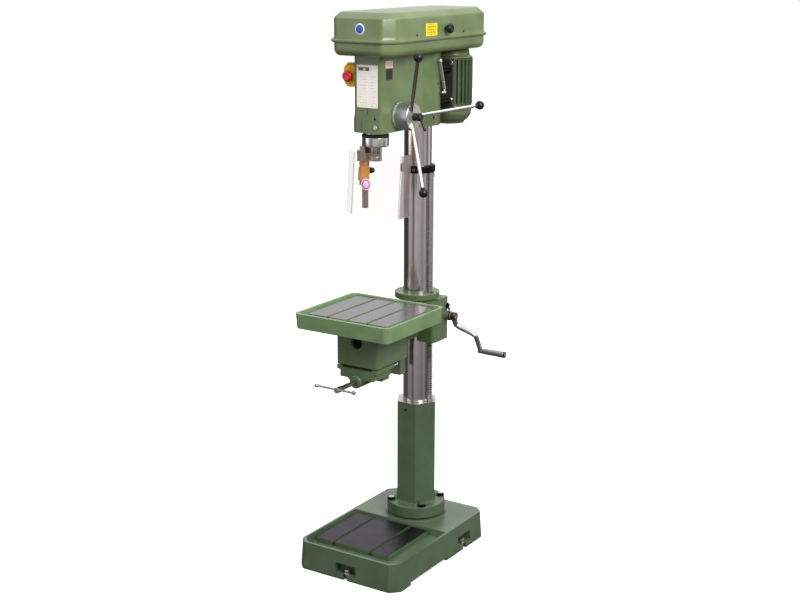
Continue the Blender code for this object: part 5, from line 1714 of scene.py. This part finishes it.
# ================================================================ switch
def make_switch():
    lo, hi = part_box("switch_box")
    outline = rounded([(lo[0], lo[2]), (hi[0], lo[2]), (hi[0], hi[2]), (lo[0], hi[2])], 0.005, 4)
    box = make("switch_case", swept("case", outline, lo[1], hi[1]), BLACK_MATT)
    start = middle("start_button")
    boolean(box, rod("bore", 0.0068, 0.253, 0.27, SMALL, 0), at=(start.x, 0, start.z), turn=ALONG_FRONT)
    tidy(box)
    show(soften(box, 0.0015, 3), "switch_box")
    knob = turned(
        "start",
        soft_profile(
            [(0, 0.2533), (0.0065, 0.2533), (0.0065, 0.2630), (0.0058, 0.2648), (0, 0.2650)], 0.0006,
        ),
        SMALL,
    )
    show(smooth(make("start", knob, GREEN_BUTTON, (start.x, 0, start.z), ALONG_FRONT)), "start_button")
    flap_front, flap_rear = -0.2735, lo[1] - 0.0010
    stop = middle("stop_button")
    flap_top = 1.6505
    centre_x = (lo[0] + hi[0]) / 2
    radius = half("switch_box", X)
    lower_z = lo[2] + radius
    lobe = []
    for step in range(25):
        angle = math.pi + math.pi * step / 24
        lobe.append((centre_x + radius * math.cos(angle), lower_z + radius * math.sin(angle)))
    lobe += [
        (hi[0], flap_top - 0.010), (hi[0] - 0.008, flap_top), (lo[0] + 0.008, flap_top),
        (lo[0], flap_top - 0.010),
    ]
    flap = make("flap", swept("flap", lobe, flap_front, flap_rear), YELLOW)
    inner = [
        (centre_x + (x - centre_x) * 0.91, lower_z + 0.004 + (z - lower_z - 0.004) * 0.91) for x, z in lobe
    ]
    boolean(flap, swept("room", inner, flap_front + 0.003, flap_rear + 0.01))
    boolean(
        flap,
        turned(
            "ring", soft_profile([(0.0180, 0), (0.0235, 0), (0.0225, 0.0030), (0.0190, 0.0030)], 0.0006),
            FINE,
        ),
        "UNION", (stop.x, flap_front + 0.0003, stop.z), ALONG_FRONT,
    )
    barrel = rod("barrel", 0.0034, -0.094, -0.061, SMALL)
    boolean(flap, barrel, "UNION", FLAP_AXIS, ALONG_X)
    boolean(flap, rod("bore", 0.0063, 0.26, 0.28, SMALL, 0), at=(stop.x, 0, stop.z), turn=ALONG_FRONT)
    tidy(flap)
    show(soften(flap, 0.0010, 3, 40), "switch_flap")
    clip = boxes("clip", ((-0.090, -0.268, 1.6522), (-0.065, -0.250, 1.6572)))
    extra(soften(make("flap_catch", clip, BLACK), 0.0016, 3), "stand")
    button = turned("button", soft_profile([
        (0, 0.2718), (0.0060, 0.2718), (0.0060, 0.2790), (0.0150, 0.2790), (0.0175, 0.2830),
        (0.0168, 0.2885), (0.0120, 0.2920),
        (0.0085, 0.2915), (0, 0.2905),
    ], 0.0022, 4), FINE)
    show(smooth(make("stop", button, RED, (stop.x, 0, stop.z), ALONG_FRONT)), "stop_button")


# ================================================================ spindle guard
def shield_front(height):
    return -0.2875 - 0.095 * (1.383 - height)


def shield_outline(height, thick):
    """The folded sheet's section with eased folds."""
    front = shield_front(height)
    outer = [(-0.108, front + 0.046), (-0.0555, front), (0.1225, front), (0.126, front + 0.050)]
    inner = [
        (0.126 - thick, front + 0.050), (0.1225 - thick * 0.95, front + thick),
        (-0.0555 + thick * 0.35, front + thick), (-0.108 + thick * 0.65, front + 0.046 + thick * 0.75),
    ]
    radii = [0.0004, 0.006, 0.006, 0.0004, 0.0004, 0.004, 0.004, 0.0004]
    return at_height(rounded(outer + inner, radii, 4), height)


def make_guard():
    lo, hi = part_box("guard_bracket")
    pivot = middle("guard_rod")
    arm = rounded_rectangle(lo[0], hi[0], lo[1], hi[1], 0.004, 4)
    mount = make("guard_mount", prism("mount", arm, lo[2], hi[2]), DULL_ALLOY)
    boolean(mount, rod("bore", 0.0063, lo[2] - 0.01, lo[2] + 0.040, SMALL, 0), at=(pivot.x, pivot.y, 0))
    boolean(
        mount,
        boxes("step", ((lo[0] - 0.01, lo[1] - 0.01, hi[2] - 0.013), (-0.0445, hi[1] + 0.01, hi[2] + 0.01))),
    )
    tidy(mount)
    show(soften(mount, 0.0012, 3), "guard_bracket")
    rod_lo, rod_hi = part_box("guard_rod")
    side = half("guard_rod", X)
    bar = make(
        "guard_bar",
        prism("bar", rounded_rectangle(-side, side, -side, side, 0.0012, 3), rod_lo[2], lo[2] - GAP),
        DULL_ALLOY, (pivot.x, pivot.y, 0),
    )
    boolean(bar, rod("pivot", 0.006, lo[2] - 0.003, rod_hi[2], SMALL), "UNION", (pivot.x, pivot.y, 0))
    tidy(bar)
    show(soften(bar, 0.0004, 2, 40), "guard_rod")
    tip = boxes(
        "tip",
        (
            (pivot.x - side, pivot.y - side, rod_lo[2] + 0.0001),
            (pivot.x + side, pivot.y + side, rod_lo[2] + 0.0040),
        ),
    )
    tip.transform(
        Matrix.Translation((pivot.x, pivot.y, 0)) @ Matrix.Diagonal((1.05, 1.05, 1, 1)) @ Matrix.Translation(
            (-pivot.x, -pivot.y, 0),
        ),
    )
    extra(soften(make("guard_bar_tip", tip, BLACK_MATT), 0.0008, 2), "guard_post")
    block_lo, block_hi = (-0.0515, -0.267, 1.276), (-0.0265, -0.242, 1.351)
    block = make(
        "guard_slider",
        prism(
            "slider", rounded_rectangle(block_lo[0], block_hi[0], block_lo[1], block_hi[1], 0.003, 3),
            block_lo[2], block_hi[2],
        ),
        ORANGE,
    )
    stand_off = []
    for height in (1.296, 1.336):
        front = shield_front(height) + 0.002 + 0.0005
        rear = block_lo[1] + 0.002
        stand_off.append(
            at_height([(-0.038, front), (-0.028, front), (-0.028, rear), (-0.038, rear)], height),
        )
    boolean(block, loft("stand_off", stand_off), "UNION")
    slide = side + GAP
    boolean(
        block,
        boxes("bore", ((pivot.x - slide, pivot.y - slide, 1.26), (pivot.x + slide, pivot.y + slide, 1.37))),
    )
    tidy(block)
    show(soften(block, 0.0014, 3), "guard_block")
    base = block_hi[1] - pivot.y
    profile = soft_profile([
        (0, base + GAP), (0.0035, base + GAP), (0.0035, base + 0.0095), (0.0085, base + 0.0105),
        (0.0104, base + 0.0135), (0.0104, base + 0.027),
        (0.0080, base + 0.0305), (0, base + 0.031),
    ], 0.0012, 4)
    knob = make(
        "guard_thumb", lobed(profile, 8, 0.08), BLACK, (pivot.x, pivot.y, middle("guard_knob").z),
        ALONG_REAR,
    )
    show(smooth(knob, 50), "guard_knob")
    shield_lo, shield_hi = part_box("guard_shield")
    rows = [
        shield_outline(shield_lo[2] + (shield_hi[2] - shield_lo[2]) * step / 6, 0.002) for step in range(7)
    ]
    shield = make("shield", loft("shield", rows), [SHEET, SHEET_EDGE])
    for face in shield.data.polygons:
        x, y, z = face.normal
        if abs(z) > 0.9 or abs(x) > 0.8 and abs(y) < 0.5 or -0.56 < x < -0.12 and face.center.y < -0.28:
            face.material_index = 1
    show(smooth(shield, 40), "guard_shield")
    make_guard_labels()


def lobed(profile, count, depth):
    """A turned knob whose outer part is scalloped for grip."""
    mesh = turned("lobed", profile, 96)
    widest = max(radius for radius, _ in profile)
    for vertex in mesh.vertices:
        far = math.hypot(vertex.co.x, vertex.co.y)
        if far > 0.7 * widest:
            angle = math.atan2(vertex.co.y, vertex.co.x)
            shrink = 1 - depth * (0.5 - 0.5 * math.cos(count * angle))
            vertex.co.x *= shrink
            vertex.co.y *= shrink
    return mesh


def make_guard_labels():
    z = 1.286
    x = -0.0048
    radius = 0.0185
    tilt = math.atan(0.095)
    y = shield_front(z) - 0.0001
    blank = sticker(
        "shield_sticker", (0.84, 0.62, 0.76), (0.56, 0.10, 0.34), (radius, radius), ((X, x), (Z, z)),
        ring=(0.60, 0.80)
    )
    mesh = turned(
        "disc", [(0, 0), (radius, 0), (radius, 0.0004), (radius - 0.0004, 0.0006), (0, 0.0006)], MEDIUM,
    )
    disc = make("shield_disc", mesh, blank, (x, y, z), (math.pi / 2 - tilt, 0, 0))
    extra(smooth(disc), "guard")


def build():
    make_base()
    make_stand_bolts()
    make_pedestal()
    make_column()
    make_head()
    make_quill()
    make_feed()
    dress_drive()
    make_motor()
    make_belt_lever()
    make_cover()
    make_table()
    make_bracket()
    make_table_lock()
    make_crank()
    make_switch()
    make_guard()


build()


# ================================================================ studio
def make_floor():
    """A wide pale sweep: level round the object, with a fine grid for its shading."""
    bm = bmesh.new()
    bmesh.ops.create_grid(bm, x_segments=24, y_segments=24, size=14)
    mesh = bpy.data.meshes.new("floor")
    bm.to_mesh(mesh)
    bm.free()
    made, n, shader = new_material("pale_floor")
    grain = n.noise(n.coords(), 3.0, 3.0, 0.6)
    n.link(n.mix(grain, (0.93, 0.93, 0.93), (0.97, 0.97, 0.97)), shader.inputs["Base Color"])
    shader.inputs["Roughness"].default_value = 0.75
    shader.inputs["Specular IOR Level"].default_value = 0.2
    shader.inputs["Emission Color"].default_value = (1, 1, 1, 1)
    shader.inputs["Emission Strength"].default_value = 0.35
    floor = bpy.data.objects.new("floor", mesh)
    bpy.context.scene.collection.objects.link(floor)
    mesh.materials.append(made)
    floor.visible_diffuse = False
    floor.visible_glossy = False


def area_light(name, at, aim, size, power, colour=(1, 1, 1), size_y=None):
    data = bpy.data.lights.new(name, "AREA")
    data.shape = "RECTANGLE" if size_y else "SQUARE"
    data.size = size
    if size_y:
        data.size_y = size_y
    data.energy = power
    data.color = colour
    lamp = bpy.data.objects.new(name, data)
    lamp.location = at
    lamp.rotation_euler = (Vector(aim) - Vector(at)).to_track_quat("-Z", "Y").to_euler()
    bpy.context.scene.collection.objects.link(lamp)
    return lamp


def make_world():
    """White behind the object. For everything else, tall pale and dark panels round a studio."""
    world = bpy.data.worlds.new("studio")
    world.use_nodes = True
    bpy.context.scene.world = world
    tree = world.node_tree
    tree.nodes.clear()
    n = Nodes(tree)
    split = n.add("ShaderNodeSeparateXYZ")
    n.link(n.add("ShaderNodeTexCoord").outputs["Generated"], split.inputs[0])
    angle = n.math("ARCTAN2", split.outputs[1], split.outputs[0])
    share = n.math("FRACT", n.math("ADD", n.math("DIVIDE", angle, TAU), 1.0))
    towards_camera = math.atan2(CAMERA_AT[1], CAMERA_AT[0])

    def place(degrees):
        return (towards_camera / TAU + degrees / 360) % 1.0

    panels = [
        (-172, 1.0), (-160, 0.12), (-126, 0.12), (-120, 0.04), (-84, 0.04), (-77, 0.42), (-66, 0.56),
        (-50, 0.56), (-44, 0.40), (-37, 0.14), (-31, 0.18), (-24, 0.48), (-16, 0.66), (0, 0.60),
        (20, 0.52), (32, 0.44), (46, 0.36), (56, 0.46), (71, 0.56), (78, 0.14), (88, 0.18),
        (98, 0.75), (117, 0.75), (126, 0.14), (155, 0.10), (166, 1.0),
    ]
    stops = sorted((place(degrees), tone) for degrees, tone in panels)
    tones = n.ramp(share, stops)
    above = n.math("MULTIPLY_ADD", split.outputs[2], 2.2)
    above.node.inputs[2].default_value = -0.55
    above.node.use_clamp = True
    colour = n.mix(above, tones, (1.45, 1.45, 1.48))
    below = n.math("MULTIPLY_ADD", split.outputs[2], -5.0)
    below.node.inputs[2].default_value = -0.90
    below.node.use_clamp = True
    colour = n.mix(below, colour, (0.12, 0.12, 0.12))
    sight = n.add("ShaderNodeLightPath").outputs["Is Camera Ray"]
    seen = n.mix(sight, colour, (1.0, 1.0, 1.0))
    ground = n.add("ShaderNodeBackground")
    n.link(seen, ground.inputs[0])
    n.link(ground.outputs[0], n.add("ShaderNodeOutputWorld").inputs[0])


CAMERA_AT = (2.42176, -3.87296, 2.00900)
CAMERA_LENS_MM = 63.01
CAMERA_SENSOR_MM = 36
CAMERA_SHIFT = (0.0018, -0.0094)
CAMERA_AZIMUTH = math.radians(32.80)
CAMERA_PITCH = math.radians(13.91)
CAMERA_ROLL = math.radians(0.15)


def make_camera():
    a, p, r = CAMERA_AZIMUTH, CAMERA_PITCH, CAMERA_ROLL
    ahead = Vector((-math.sin(a) * math.cos(p), math.cos(a) * math.cos(p), -math.sin(p)))
    right = Vector((math.cos(a), math.sin(a), 0))
    up = right.cross(ahead)
    side = math.cos(r) * right + math.sin(r) * up
    over = -math.sin(r) * right + math.cos(r) * up
    data = bpy.data.cameras.new("camera")
    data.lens = CAMERA_LENS_MM
    data.sensor_width = CAMERA_SENSOR_MM
    data.shift_x, data.shift_y = CAMERA_SHIFT
    data.clip_end = 60
    camera = bpy.data.objects.new("camera", data)
    camera.matrix_world = Matrix.Translation(CAMERA_AT) @ Matrix((side, over, -ahead)).transposed().to_4x4()
    bpy.context.scene.collection.objects.link(camera)
    bpy.context.scene.camera = camera


make_floor()
make_world()
area_light("key", (3.3, -1.5, 3.2), (0, -0.1, 1.2), 1.8, 160)
area_light("fill", (-2.4, -3.0, 1.6), (0, -0.1, 0.9), 1.6, 12)
make_camera()
bpy.context.scene.view_settings.view_transform = "Standard"
